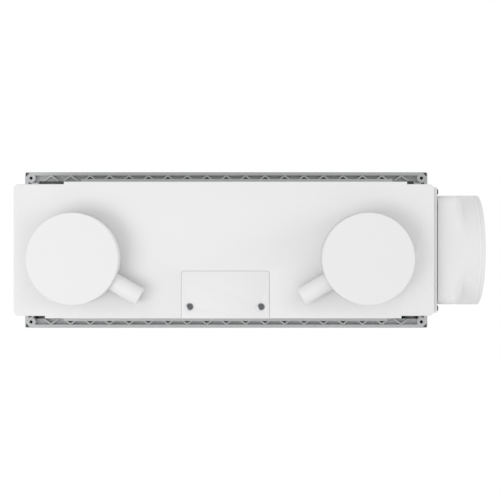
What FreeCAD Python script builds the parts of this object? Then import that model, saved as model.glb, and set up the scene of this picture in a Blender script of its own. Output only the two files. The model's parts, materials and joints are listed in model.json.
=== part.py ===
import FreeCAD, Part

# Heat recovery unit for one room, recessed in an outside wall, with a side spigot for a second room.
# Millimetres. +Z is up, the room is towards -Y and the outside is towards +Y. The origin is the middle of the
# mounting frame's back plane, which rests on the wall.
import math
import os
import re

import Sketcher
from FreeCAD import Placement, Rotation, Vector

# name, value, what it is
SIZES = [
    ("mouth_gap", 4, "gap between the housing and the mouth of the frame"),
    ("frame_depth", 18, "mounting frame, along Y"),
    ("frame_plate", 10, "frame under the hollow that holds the ribs"),
    ("frame_rim", 5, "rim of the frame"),
    ("mouth_wall", 2, "wall between the mouth and the groove in a side bar"),
    ("frame_side", 12, "side bars of the frame"),
    ("frame_corner", 2.5, "outer corner radius of the frame"),
    ("rib_zone", 11, "height of the zig-zag ribs"),
    ("rib_ring", 4, "bar inside the ribs"),
    ("rib_pitch", 29.5, "spacing of the zig-zag ribs"),
    ("rib_half", 1.2, "half the width of a rib along X"),
    ("rib_drop", 1, "ribs and the bar inside them lie this far below the wall plane"),
    ("fixing_edge", 9, "wall-fixing hole to the frame's sides"),
    ("fixing_hole", 2.5, "radius of a wall-fixing hole"),
    ("fixing_boss", 7, "radius of the boss round it"),
    ("corner_wall", 1.2, "wall round a corner pocket of the frame"),
    ("corner_pocket", 5, "side of a corner pocket of the frame"),
    ("corner_floor", 9, "depth of a corner pocket of the frame"),
    ("lock_slot", 39, "length of a locking slot"),
    ("lock_place_top", 285, "outer ends of the upper locking slots"),
    ("lock_place_base", 292, "outer ends of the lower locking slots"),
    ("lock_rise", 2, "locking slots from the mouth"),
    ("lock_slot_height", 4.5, "height of a locking slot"),
    ("panel_depth", 13, "front panel, along Y"),
    ("panel_gap", 0.5, "gap between front panel and frame"),
    ("panel_skin", 3, "front wall of the panel"),
    ("panel_lip", 2.5, "side and top lips of the panel"),
    ("panel_bar", 7, "solid lower bar that holds the hinge"),
    ("hinge_round", 3.5, "radius of the panel's lower back edge about the hinge"),
    ("hinge_pin", 2, "radius of a hinge pin"),
    ("hinge_play", 0.05, "radial play of pins, shafts and axles"),
    ("hinge_place", 200, "hinge brackets from the middle"),
    ("ear_width", 3, "thickness of a hinge bracket"),
    ("ear_play", 0.6, "gap round a bracket in its notch"),
    ("pin_length", 24, "length of a hinge pin"),
    ("case_length", 578, "rear housing, along X"),
    ("case_height", 188, "rear housing's middle, along Z"),
    ("end_drop", 3.5, "the housing's ends lie this far inside its raised middle, above and below"),
    ("case_depth", 185, "rear housing, along Y"),
    ("case_wall", 3, "housing wall"),
    ("case_corner", 7, "corner radius of the housing's ends"),
    ("case_edge", 1.5, "rounding round the rear face"),
    ("raised_top", 472, "length of the upper raised part"),
    ("raised_base", 490, "length of the lower raised part"),
    ("middle_shift_top", -16, "middle of the upper raised part"),
    ("middle_shift_base", 0.8, "middle of the lower raised part"),
    ("rail_reach", 13.6, "height of a case rail over the housing"),
    ("rail_sheet", 2, "thickness of a case rail"),
    ("rail_foot", 22, "leg of a case rail along the housing"),
    ("rail_share", 0.42, "outer rail screws from the middle, as a share of the raised part's length"),
    ("core_centre", 4, "exchanger and collars are symmetric about this X"),
    ("end_room", 12, "room in the housing beyond the collar's flange"),
    ("collar_height", -12, "height of the collar axes"),
    ("collar_radius", 62.5, "duct collar, outside"),
    ("collar_wall", 3, "duct collar's wall"),
    ("collar_reach", 30, "collar behind the rear face"),
    ("collar_step", 7.5, "width of the flange inside the housing"),
    ("flange_sheet", 3, "thickness of that flange"),
    ("collar_play", 0.2, "gap round the collar in the housing"),
    ("cap_lid", 5, "thickness of a cap's lid"),
    ("cap_gap", 0.3, "gap between a cap and its collar"),
    ("cap_skirt", 5, "depth of a cap's skirt, which stays clear of the drain"),
    ("cap_wall", 2.2, "thickness of a cap's skirt"),
    ("drain_radius", 12.5, "drain nozzle, outside"),
    ("drain_wall", 3, "drain nozzle's wall"),
    ("drain_offset", 15, "nozzle axis behind the rear face"),
    ("drain_reach", 104, "nozzle's end from the collar's axis"),
    ("drain_stop", 2, "the pipe's seat in a nozzle ends this far outside the collar"),
    ("drain_step", 1, "width of the step that a drain pipe meets there"),
    ("drain_fall", 30, "degrees that a nozzle falls"),
    ("cover_width", 121, "terminal cover, along X"),
    ("cover_centre", -2.2, "middle of the terminal cover"),
    ("cover_top", -29, "upper edge of the terminal cover"),
    ("cover_sheet", 3, "thickness of the terminal cover"),
    ("cover_return", 25, "part of the cover below the housing"),
    ("cover_play", 0.3, "seam round the cover"),
    ("cover_corner", 4, "corner radius of the cover"),
    ("screw_inset", 11.5, "the cover's screws from its sides"),
    ("screw_height", -78, "height of the cover's screws"),
    ("screw_head", 5, "radius of an M5 screw head"),
    ("screw_shank", 2, "radius of a screw's shank"),
    ("screw_hole", 2.05, "radius of the hole that a shank is driven into"),
    ("screw_free", 2.5, "radius of a hole that a shank passes"),
    ("small_head", 2.4, "height of a small screw's head, which is twice as wide as its shank"),
    ("flat_head", 1.4, "height of a side flange screw's head"),
    ("cover_head", 2.6, "height of a cover screw's head"),
    ("cover_shank", 14, "length of a cover screw's shank"),
    ("box_depth", 36, "terminal box, along Y"),
    ("box_wall", 2.5, "terminal box's wall"),
    ("box_margin", 5, "terminal box beyond the cover on each side"),
    ("block_length", 60, "terminal block, along X"),
    ("block_height", 16, "terminal block, along Z"),
    ("block_depth", 14, "terminal block, along Y"),
    ("block_place", -50, "height of the terminal block"),
    ("block_ways", 6, "poles of the terminal block"),
    ("block_pocket", 7, "width of a wire entry"),
    ("grommet_radius", 8, "cable grommet, outside"),
    ("grommet_bore", 5, "cable grommet, inside"),
    ("side_height", 174, "side flange, along Z"),
    ("side_width", 164, "side flange, along Y"),
    ("gasket_sheet", 2, "thickness of the side gasket"),
    ("side_sheet", 4.5, "thickness of the side flange"),
    ("side_axis", 85, "side connection's axis behind the wall plane"),
    ("side_step", 1.5, "neck between side flange and adapter"),
    ("adapter_height", 161, "adapter's square end, along Z"),
    ("adapter_width", 160, "adapter's square end, along Y"),
    ("adapter_corner", 12, "corner radius of the square end"),
    ("adapter_straight", 24, "length of the square part"),
    ("adapter_length", 15, "length of the change of section"),
    ("adapter_wall", 2.5, "adapter's wall"),
    ("spigot_radius", 78.8, "side spigot, outside"),
    ("spigot_length", 28, "round part of the side spigot"),
    ("seal_place", 7, "lip seal from the spigot's end"),
    ("seal_width", 3, "width of the lip seal's groove"),
    ("seal_depth", 1.2, "depth of the lip seal's groove"),
    ("passage_height", 118, "opening from the housing to the side spigot, along Z"),
    ("passage_front", 16, "front edge of that opening"),
    ("core_clear", 12.5, "room above and below the exchanger core"),
    ("core_slant", 45, "length along X of each slanted face of the core"),
    ("core_behind", 6, "between the core and the terminal box"),
    ("core_front", 22, "front face of the core"),
    ("core_gap", 0.4, "gap between the core and what holds it"),
    ("seal_reach", 18, "between the core's sharp edges and the bulkheads"),
    ("head_sheet", 6, "thickness of a bulkhead"),
    ("duct_low", 8, "near edge of a bulkhead's opening from the core's middle"),
    ("inner_sheet", 6, "thickness of the inner cover"),
    ("post_inset", 12, "inner cover's screws and posts from its edges"),
    ("inner_gap", 0.5, "gap round parts fitted into the housing"),
    ("motor_room", 2, "between a divider and the fan motor"),
    ("divider_sheet", 4, "thickness of a divider"),
    ("filter_sheet", 15, "thickness of a filter cassette"),
    ("filter_frame", 6, "bar of a filter's frame"),
    ("room_filter_sheet", 10, "thickness of the room filter"),
    ("vent_width", 70, "openings in the inner cover, along X"),
    ("vent_height", 50, "openings in the inner cover, along Z"),
    ("vent_place", 60, "openings from the core's centre"),
    ("vent_base", 20, "lower edge of the openings"),
    ("fan_step", 0.5, "a fan casing's bore is this much wider than the collar's"),
    ("fan_wall", 3, "wall of a fan casing"),
    ("fan_length", 50, "length of a fan casing"),
    ("fan_gasket", 2, "gasket behind a fan casing"),
    ("hub_radius", 24, "hub of an impeller and seat of a motor"),
    ("hub_length", 34, "length of an impeller's hub"),
    ("motor_radius", 22, "fan motor"),
    ("motor_length", 21, "length of a fan motor"),
    ("shaft_radius", 3, "impeller shaft"),
    ("strut_sheet", 4, "thickness of a fan's struts"),
    ("blade_gap", 3, "between a blade's middle and the casing"),
    ("blade_chord", 28, "width of a blade"),
    ("blade_sheet", 2.4, "thickness of a blade"),
    ("blade_pitch", 50, "degrees between a blade and the axis"),
    ("tray_height", 7, "condensate tray"),
    ("tray_wall", 2, "condensate tray's wall"),
    ("flap_under", 7.5, "bypass flap's axle under the housing's top wall"),
    ("flap_beside", 16, "flap's axle from the bulkhead"),
    ("flap_length", 22, "bypass flap, hanging"),
    ("flap_sheet", 2.5, "thickness of the flap"),
    ("flap_width", 92, "bypass flap, along Y"),
    ("flap_front", 26, "front end of the bypass flap"),
    ("bearing_sheet", 5, "thickness of a flap bearing"),
    ("bearing_size", 12, "sides of a flap bearing"),
    ("flap_motor_width", 20, "motor of the bypass flap, along X"),
    ("flap_motor_length", 18, "motor of the bypass flap, along Y"),
    ("flap_motor_drop", 14, "the flap's motor below its axle"),
    ("sensor_place", 32, "air sensors above and below the middle"),
    ("sensor_size", 4, "sides of an air sensor"),
    ("sensor_length", 12, "length of an air sensor"),
    ("control_length", 110, "control box, along X and Z"),
    ("control_depth", 40, "control box, along Y"),
    ("control_wall", 2, "wall of the control box"),
    ("control_side", 12, "control box from the outdoor-air filter"),
    ("magnet_length", 20, "catch magnet, along X"),
    ("magnet_sheet", 3, "thickness of a catch magnet"),
    ("magnet_height", 6, "catch magnet, along Z"),
    ("button_radius", 5, "mode button"),
    ("button_place", -262, "button from the panel's middle"),
    ("button_height", -95, "height of the button"),
    ("button_proud", 0.8, "button in front of the panel"),
    ("button_play", 0.4, "gap round the button"),
    ("board_sheet", 1.6, "thickness of a circuit board"),
]

# Places worked out from those sizes, by name.
PLACES = {
    "frame_end": "case_end + mouth_gap + frame_side",
    "frame_top": "case_top + mouth_gap + rib_ring + rib_zone + frame_rim",
    "rib_out": "frame_top - frame_rim",
    "rib_in": "rib_out - rib_zone",
    "mouth_end": "frame_end - frame_side",
    "mouth_top": "rib_in - rib_ring",
    "panel_back": "-frame_depth - panel_gap",
    "panel_front": "panel_back - panel_depth",
    "hinge_back": "panel_back - hinge_round",
    "hinge_base": "-frame_top + hinge_round",
    "case_end": "case_length / 2",
    "case_top": "case_height / 2",
    "end_top": "case_top - end_drop",
    "inside_end": "case_end - case_wall",
    "inside_top": "end_top - case_wall",
    "inside_rear": "case_depth - case_wall",
    "fit_end": "inside_end - inner_gap",
    "fit_top": "inside_top - inner_gap",
    "collar_bore": "collar_radius - collar_wall",
    "collar_end": "case_depth + collar_reach",
    "collar_flange": "collar_radius + collar_step",
    "collar_place": "inside_end - end_room - collar_flange - core_centre",
    "outdoor_x": "core_centre + collar_place",
    "exhaust_x": "core_centre - collar_place",
    "screw_spacing": "cover_width - 2 * screw_inset",
    "box_front": "inside_rear - box_depth",
    "box_end": "cover_width / 2 + box_margin",
    "box_top": "cover_top + box_margin",
    "box_rear": "inside_rear - inner_gap",
    "gasket_face": "-case_end - gasket_sheet",
    "flange_face": "gasket_face - side_sheet",
    "adapter_face": "flange_face - side_step",
    "square_end": "adapter_face - adapter_straight",
    "cone_face": "square_end - adapter_length",
    "spigot_face": "cone_face - spigot_length",
    "filter_base": "head_place + head_sheet + inner_gap",
    "head_place": "collar_place - collar_flange - filter_sheet - head_sheet - 2 * inner_gap",
    "core_length": "2 * (head_place - seal_reach)",
    "core_height": "2 * (inside_top - core_clear)",
    "core_flat": "core_length - 2 * core_slant",
    "core_rear": "box_front - core_behind",
    "core_depth": "core_rear - core_front",
    "divider_place": "motor_front - motor_room - divider_sheet",
    "passage_width": "divider_place - 2 - passage_front",
    "duct_high": "core_height / 2 - 1",
    "fan_bore": "collar_bore + fan_step",
    "blade_tip": "fan_bore - blade_gap",
    "flap_height": "inside_top - flap_under",
    "flap_place": "head_place - flap_beside",
    "fan_rear": "inside_rear - flange_sheet - fan_gasket",
    "fan_front": "fan_rear - fan_length",
    "hub_front": "fan_front + strut_sheet + 3",
    "motor_front": "fan_front - motor_length",
    "core_base": "-core_height / 2",
    "fit_rear": "inside_rear - inner_gap",
    "inner_rear": "inner_gap + inner_sheet",
}

PASSAGE = ("passage_front", "passage_front + passage_width")
# side, middle and length of the two raised parts of the housing
RAISED = ((1, "middle_shift_top", "raised_top"), (-1, "middle_shift_base", "raised_base"))

doc = FreeCAD.newDocument("HeatRecoveryUnit")
sheet = doc.addObject("Spreadsheet::Sheet", "Sizes")
for row, (alias, value, note) in enumerate(SIZES, start=1):
    sheet.set(f"A{row}", str(value))
    sheet.setAlias(f"A{row}", alias)
    sheet.set(f"B{row}", note)
doc.recompute()
ALIASES = {alias for alias, _, _ in SIZES}
PIECES = []
TURN_TO = {
    "X": Rotation(Vector(0, 1, 0), 90),
    "Y": Rotation(Vector(1, 0, 0), -90),
    "Z": Rotation(),
}


def formula(text):
    """An expression of the document, from one that is written with the plain names above."""

    def swap(match):
        name = match.group(0)
        if name in PLACES:
            return f"({formula(PLACES[name])})"
        return f"Sizes.{name}" if name in ALIASES else name

    return re.sub(r"[a-z_]{3,}", swap, str(text))


def measure(text):
    """The value of such an expression, in millimetres or degrees."""
    return float(sheet.evalExpression(formula(text)))


def new_body(label, x="0", y="0", z="0", pieces=1):
    body = doc.addObject("PartDesign::Body", label)
    body.Label = label
    body.AllowCompound = pieces > 1
    for axis, place in zip("xyz", (x, y, z)):
        body.setExpression(f"Placement.Base.{axis}", formula(place))
    PIECES.append(body)
    return body


def block(body, x, y, z, cut=False):
    """A box between two corners. Each of x, y and z is a pair of expressions."""
    kind = "PartDesign::SubtractiveBox" if cut else "PartDesign::AdditiveBox"
    box = body.newObject(kind, "Cut" if cut else "Block")
    for size, axis, (low, high) in zip(("Length", "Width", "Height"), "xyz", (x, y, z)):
        box.setExpression(size, formula(f"({high}) - ({low})"))
        box.setExpression(f"Placement.Base.{axis}", formula(low))
    return box


def rod(body, along, start, radius, length, cut=False):
    """A cylinder from start, along one axis."""
    kind = "PartDesign::SubtractiveCylinder" if cut else "PartDesign::AdditiveCylinder"
    cylinder = body.newObject(kind, "Bore" if cut else "Rod")
    cylinder.Placement = Placement(Vector(), TURN_TO[along])
    cylinder.setExpression("Radius", formula(radius))
    cylinder.setExpression("Height", formula(length))
    for axis, place in zip("xyz", start):
        cylinder.setExpression(f"Placement.Base.{axis}", formula(place))
    return cylinder


def new_sketch(body, plane, offset="0"):
    """An empty sketch on one of the body's own planes. Offset runs along the plane's normal."""
    sketch = body.newObject("Sketcher::SketchObject", "Sketch")
    support = next(item for item in body.Origin.OriginFeatures if item.Role == plane)
    sketch.AttachmentSupport = [(support, "")]
    sketch.MapMode = "FlatFace"
    sketch.setExpression("AttachmentOffset.Base.z", formula(offset))
    return sketch


def outline(body, plane, points, offset="0"):
    """A closed outline through points, each a pair of expressions."""
    sketch = new_sketch(body, plane, offset)
    corners = [Vector(measure(across), measure(up), 0) for across, up in points]
    count = len(corners)
    for i in range(count):
        sketch.addGeometry(Part.LineSegment(corners[i], corners[(i + 1) % count]), False)
    for i in range(count):
        sketch.addConstraint(Sketcher.Constraint("Coincident", i, 2, (i + 1) % count, 1))
    for i, (across, up) in enumerate(points):
        for kind, place, value in (("DistanceX", across, corners[i].x), ("DistanceY", up, corners[i].y)):
            index = sketch.addConstraint(Sketcher.Constraint(kind, -1, 1, i, 1, value))
            sketch.setExpression(f"Constraints[{index}]", formula(place))
    return sketch


def circle(body, plane, radius, offset="0"):
    sketch = new_sketch(body, plane, offset)
    sketch.addGeometry(Part.Circle(Vector(), Vector(0, 0, 1), measure(radius)), False)
    sketch.addConstraint(Sketcher.Constraint("Coincident", 0, 3, -1, 1))
    index = sketch.addConstraint(Sketcher.Constraint("Radius", 0, measure(radius)))
    sketch.setExpression(f"Constraints[{index}]", formula(radius))
    return sketch


def rounded_rectangle(body, plane, width, height, corner, offset="0"):
    """A rectangle with rounded corners, about the origin of the plane."""
    sketch = new_sketch(body, plane, offset)
    radius = measure(corner)
    half_width = measure(width) / 2 - radius
    half_height = measure(height) / 2 - radius
    arcs = []
    for turn, (side, up) in zip((-90, 0, 90, 180), ((1, -1), (1, 1), (-1, 1), (-1, -1))):
        round_corner = Part.Circle(Vector(side * half_width, up * half_height, 0), Vector(0, 0, 1), radius)
        first, last = math.radians(turn), math.radians(turn + 90)
        arcs.append(sketch.addGeometry(Part.ArcOfCircle(round_corner, first, last), False))
    for i, arc in enumerate(arcs):
        after = arcs[(i + 1) % 4]
        line = sketch.addGeometry(Part.LineSegment(sketch.getPoint(arc, 2), sketch.getPoint(after, 1)), False)
        sketch.addConstraint(Sketcher.Constraint("Tangent", arc, 2, line, 1))
        sketch.addConstraint(Sketcher.Constraint("Tangent", line, 2, after, 1))
        sketch.addConstraint(Sketcher.Constraint("Horizontal" if i % 2 else "Vertical", line))
        if i:
            sketch.addConstraint(Sketcher.Constraint("Equal", arcs[0], arc))
    sketch.addConstraint(Sketcher.Constraint("Symmetric", arcs[0], 3, arcs[2], 3, -1, 1))
    for kind, places, value, size in (
        ("Radius", (arcs[0],), radius, corner),
        ("DistanceX", (arcs[2], 3, arcs[0], 3), 2 * half_width, f"({width}) - 2 * ({corner})"),
        ("DistanceY", (arcs[0], 3, arcs[2], 3), 2 * half_height, f"({height}) - 2 * ({corner})"),
    ):
        index = sketch.addConstraint(Sketcher.Constraint(kind, *places, value))
        sketch.setExpression(f"Constraints[{index}]", formula(size))
    return sketch


def pad(body, sketch, length, reverse=False, cut=False):
    feature = body.newObject("PartDesign::Pocket" if cut else "PartDesign::Pad", "Pocket" if cut else "Pad")
    feature.Profile = sketch
    feature.setExpression("Length", formula(length))
    feature.Reversed = reverse
    return feature


def turned(body, points):
    """A solid turned about Y, from an outline of (radius, place along Y)."""
    sketch = outline(body, "XY_Plane", points)
    feature = body.newObject("PartDesign::Revolution", "Turned")
    feature.Profile = sketch
    feature.ReferenceAxis = (sketch, ["V_Axis"])
    feature.Angle = 360
    return feature


def loft(body, first, last, cut=False):
    feature = body.newObject("PartDesign::SubtractiveLoft" if cut else "PartDesign::AdditiveLoft", "Loft")
    feature.Profile = first
    feature.Sections = [last]
    feature.Ruled = True
    return feature


def round_about(body, features, count, role="Y_Axis"):
    """Repeats features round one of the body's own axes."""
    pattern = body.newObject("PartDesign::PolarPattern", "Round")
    pattern.Originals = features
    axis = next(item for item in body.Origin.OriginFeatures if item.Role == role)
    pattern.Axis = (axis, [""])
    pattern.Angle = 360
    pattern.Occurrences = count
    body.Tip = pattern
    return pattern


def row_along(body, features, length, count):
    """Repeats features along X."""
    pattern = body.newObject("PartDesign::LinearPattern", "Row")
    pattern.Originals = features
    axis = next(item for item in body.Origin.OriginFeatures if item.Role == "X_Axis")
    pattern.Direction = (axis, [""])
    pattern.setExpression("Length", formula(length))
    pattern.Occurrences = count
    body.Tip = pattern
    return pattern


def edges_of(feature, wanted):
    """Names of the straight edges of a feature that the test wanted(start, end) accepts."""
    doc.recompute()
    names = []
    for number, edge in enumerate(feature.Shape.Edges, start=1):
        if len(edge.Vertexes) == 2 and wanted(edge.Vertexes[0].Point, edge.Vertexes[1].Point):
            names.append(f"Edge{number}")
    return names


def rounded(body, feature, radius, wanted):
    """Rounds the edges of a feature that pass the test."""
    fillet = body.newObject("PartDesign::Fillet", "Rounded")
    fillet.Base = (feature, edges_of(feature, wanted))
    fillet.setExpression("Radius", formula(radius))
    return fillet


def runs_along(axis):
    """A test for edges that run along one axis."""
    others = [name for name in "xyz" if name != axis]
    return lambda a, b: all(abs(getattr(a, name) - getattr(b, name)) < 1e-4 for name in others)


def both(value):
    """The pair from minus to plus a value."""
    return (f"-({value})", value)


def outwards(side, near, far):
    """The X span from near to far, measured from the core's centre towards one side, +1 or -1."""
    if side > 0:
        return (f"core_centre + ({near})", f"core_centre + ({far})")
    return (f"core_centre - ({far})", f"core_centre - ({near})")


def end_of(side):
    """How far the inside of the housing reaches from the core's centre on one side."""
    return f"fit_end - ({side}) * core_centre"


def corner_places(along, up):
    return [(f"({i}) * ({along})", f"({j}) * ({up})") for i in (-1, 1) for j in (-1, 1)]


# ---- frame and front ---------------------------------------------------------------------------------------


def mounting_frame():
    body = new_body("mounting_frame")
    plate = block(body, both("frame_end"), ("-frame_depth", "0"), both("frame_top"))
    rounded(body, plate, "frame_corner", runs_along("y"))
    block(body, both("mouth_end"), ("-frame_depth - 1", "1"), both("mouth_top"), cut=True)
    floor = "frame_plate - frame_depth"
    zone_end = "frame_end - frame_rim"
    half_pitch = "rib_pitch / 2"
    dip = "rib_half * 2 * rib_zone / (rib_pitch / 2)"
    count = int((2 * measure("mouth_end - frame_corner")) // measure("rib_pitch"))
    start = f"-({count} - 1) * rib_pitch / 2"
    for side in (1, -1):
        low, high = ("rib_in", "rib_out") if side > 0 else ("-(rib_out)", "-(rib_in)")
        block(body, both(zone_end), (floor, "1"), (low, high), cut=True)
        groove = ("mouth_end + mouth_wall", zone_end) if side > 0 else (f"-({zone_end})", "-mouth_end - mouth_wall")
        block(body, groove, (floor, "1"), both("rib_out"), cut=True)
        foot = f"{side} * (rib_in - 0.2)"
        peak = f"{side} * (rib_out + 0.2)"
        chevron = [
            (f"{start} - {half_pitch} - rib_half", foot),
            (f"{start} - rib_half", peak),
            (f"{start} + rib_half", peak),
            (f"{start} + {half_pitch} + rib_half", foot),
            (f"{start} + {half_pitch} - rib_half", foot),
            (start, f"{side} * (rib_out - {dip})"),
            (f"{start} - {half_pitch} + rib_half", foot),
        ]
        rib = pad(body, outline(body, "XZ_Plane", chevron, "frame_depth - frame_plate + 0.2"),
                  "frame_depth - frame_plate - rib_drop + 0.2", reverse=True)
        row_along(body, [rib], f"({count} - 1) * rib_pitch", count)
        bar = ("mouth_top", "rib_in") if side > 0 else ("-(rib_in)", "-(mouth_top)")
        block(body, both("mouth_end"), ("-rib_drop", "1"), bar, cut=True)
        slot = ("mouth_top + lock_rise", "mouth_top + lock_rise + lock_slot_height")
        outer = "lock_place_top"
        if side < 0:
            slot = (f"-({slot[1]})", f"-({slot[0]})")
            outer = "lock_place_base"
        for end in (1, -1):
            inner = f"{outer} - lock_slot"
            x = (inner, outer) if end > 0 else (f"-({outer})", f"-({inner})")
            block(body, x, ("-frame_depth - 1", "1"), slot, cut=True)
    for turn_x in (1, -1):
        for turn_z in (1, -1):
            spans = []
            for turn, edge in ((turn_x, "frame_end"), (turn_z, "frame_top")):
                near, far = f"{edge} - corner_wall - corner_pocket", f"{edge} - corner_wall"
                spans.append((near, far) if turn > 0 else (f"-({far})", f"-({near})"))
            block(body, spans[0], ("-corner_floor", "1"), spans[1], cut=True)
    corners = corner_places("frame_end - fixing_edge", "frame_top - fixing_edge")
    for x, z in corners:
        rod(body, "Y", (x, "-frame_depth", z), "fixing_boss", "frame_depth")
    for x, z in corners:
        rod(body, "Y", (x, "-frame_depth - 1", z), "fixing_hole", "frame_depth + 2", cut=True)


def case_rail(label, side, shift, span):
    body = new_body(label)
    x = (f"{shift} - {span} / 2", f"{shift} + {span} / 2")
    upright = ("case_top", "case_top + rail_reach")
    foot = ("case_top", "case_top + rail_sheet")
    if side < 0:
        upright = ("-case_top - rail_reach", "-(case_top)")
        foot = ("-case_top - rail_sheet", "-(case_top)")
    block(body, x, ("-rib_drop", "rail_sheet - rib_drop"), upright)
    block(body, x, ("-rib_drop", "rail_foot"), foot)
    base = "case_top - 1" if side > 0 else "-case_top - rail_sheet - 1"
    for x, y in rail_screw_places(shift, span):
        rod(body, "Z", (x, y, base), "screw_free", "rail_sheet + 2", cut=True)


def rail_screw_places(shift, span):
    """X and Y of the three screws of a case rail."""
    return [(f"{shift} + ({step}) * {span} * rail_share", "rail_foot / 2 + 2") for step in (-1, 0, 1)]


def case_rail_screws():
    body = new_body("case_rail_screws", pieces=6)
    for side, shift, span in RAISED:
        for x, y in rail_screw_places(shift, span):
            head = "case_top + rail_sheet" if side > 0 else "-case_top - rail_sheet - small_head"
            shank = "case_top - 3" if side > 0 else "-case_top - rail_sheet"
            rod(body, "Z", (x, y, head), "screw_shank * 2", "small_head")
            rod(body, "Z", (x, y, shank), "screw_shank", "3 + rail_sheet")


def hinge_brackets():
    body = new_body("hinge_brackets", pieces=2)
    for side in (1, -1):
        middle = f"({side}) * hinge_place"
        x = (f"{middle} - ear_width / 2", f"{middle} + ear_width / 2")
        reach = "hinge_round - 0.1"
        block(body, x, ("hinge_back", "-frame_depth"), (f"hinge_base - ({reach})", f"hinge_base + {reach}"))
        rod(body, "X", (x[0], "hinge_back", "hinge_base"), reach, "ear_width")
    for side in (1, -1):
        x = f"({side}) * hinge_place - ear_width"
        rod(body, "X", (x, "hinge_back", "hinge_base"), "hinge_pin", "2 * ear_width", cut=True)


def hinge_pins():
    body = new_body("hinge_pins", pieces=2)
    for side in (1, -1):
        start = f"({side}) * hinge_place - pin_length / 2"
        rod(body, "X", (start, "hinge_back", "hinge_base"), "hinge_pin", "pin_length")


def front_panel():
    body = new_body("front_panel")
    whole = block(body, both("frame_end"), ("panel_front", "panel_back"), both("frame_top"))

    def lower_back(a, b):
        level = abs(a.y - measure("panel_back")) < 1e-4 and abs(a.z + measure("frame_top")) < 1e-4
        return runs_along("x")(a, b) and level

    rolled = rounded(body, whole, "hinge_round", lower_back)

    def front_edges(a, b):
        face = measure("panel_front")
        return abs(a.y - face) < 1e-4 and abs(b.y - face) < 1e-4

    rounded(body, rolled, "2", front_edges)
    block(body, both("frame_end - panel_lip"), ("panel_front + panel_skin", "panel_back + 1"),
          ("-frame_top + panel_bar", "frame_top - panel_lip"), cut=True)
    for side in (1, -1):
        middle = f"({side}) * hinge_place"
        half = "(ear_width / 2 + ear_play)"
        block(body, (f"{middle} - {half}", f"{middle} + {half}"),
              ("hinge_back - hinge_round - ear_play", "panel_back + 1"),
              ("-frame_top - 1", "hinge_base + hinge_round + ear_play"), cut=True)
        start = f"{middle} - pin_length / 2 - 0.3"
        rod(body, "X", (start, "hinge_back", "hinge_base"), "hinge_pin + hinge_play", "pin_length + 0.6", cut=True)
    hole = ("button_place", "panel_front - 1", "button_height")
    rod(body, "Y", hole, "button_radius + button_play", "panel_skin + 2", cut=True)
    lens = ("button_place + 4 * button_radius", "panel_front - 1", "button_height")
    rod(body, "Y", lens, "2", "panel_skin + 2", cut=True)


def mode_button():
    body = new_body("mode_button", x="button_place", z="button_height")
    top = "panel_front - button_proud"
    flange = "panel_front + panel_skin + 0.3"
    turned(body, [("0", top), ("button_radius", top), ("button_radius", flange),
                  ("button_radius + 1.5", flange), ("button_radius + 1.5", f"{flange} + 1"),
                  ("2", f"{flange} + 1"), ("2", f"{flange} + 1.6"), ("0", f"{flange} + 1.6")])


def button_board():
    body = new_body("button_board")
    face = "panel_front + panel_skin + 4"
    x = ("button_place - 12", "button_place + 34")
    z = ("button_height - 9", "button_height + 9")
    block(body, x, (face, f"{face} + board_sheet"), z)
    for place in ("button_place - 11.5", "button_place + 30.5"):
        block(body, (place, f"{place} + 3"), ("panel_front + panel_skin", face), z)


def status_lens():
    body = new_body("status_lens", x="button_place + 4 * button_radius", z="button_height")
    turned(body, [("0", "panel_front"), ("2", "panel_front"), ("2", "panel_front + panel_skin"),
                  ("3", "panel_front + panel_skin"), ("3", "panel_front + panel_skin + 2"),
                  ("0", "panel_front + panel_skin + 2")])


def panel_catches():
    magnets = new_body("catch_magnets", pieces=2)
    plates = new_body("catch_plates", pieces=2)
    for side in (1, -1):
        middle = f"({side}) * hinge_place"
        x = (f"{middle} - magnet_length / 2", f"{middle} + magnet_length / 2")
        z = ("rib_out - 1 - magnet_height", "rib_out - 1")
        block(magnets, x, ("-frame_depth - magnet_sheet", "-frame_depth"), z)
        block(plates, x, ("panel_front + panel_skin", "-frame_depth - magnet_sheet - panel_gap"), z)


# ---- rear housing ------------------------------------------------------------------------------------------


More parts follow.
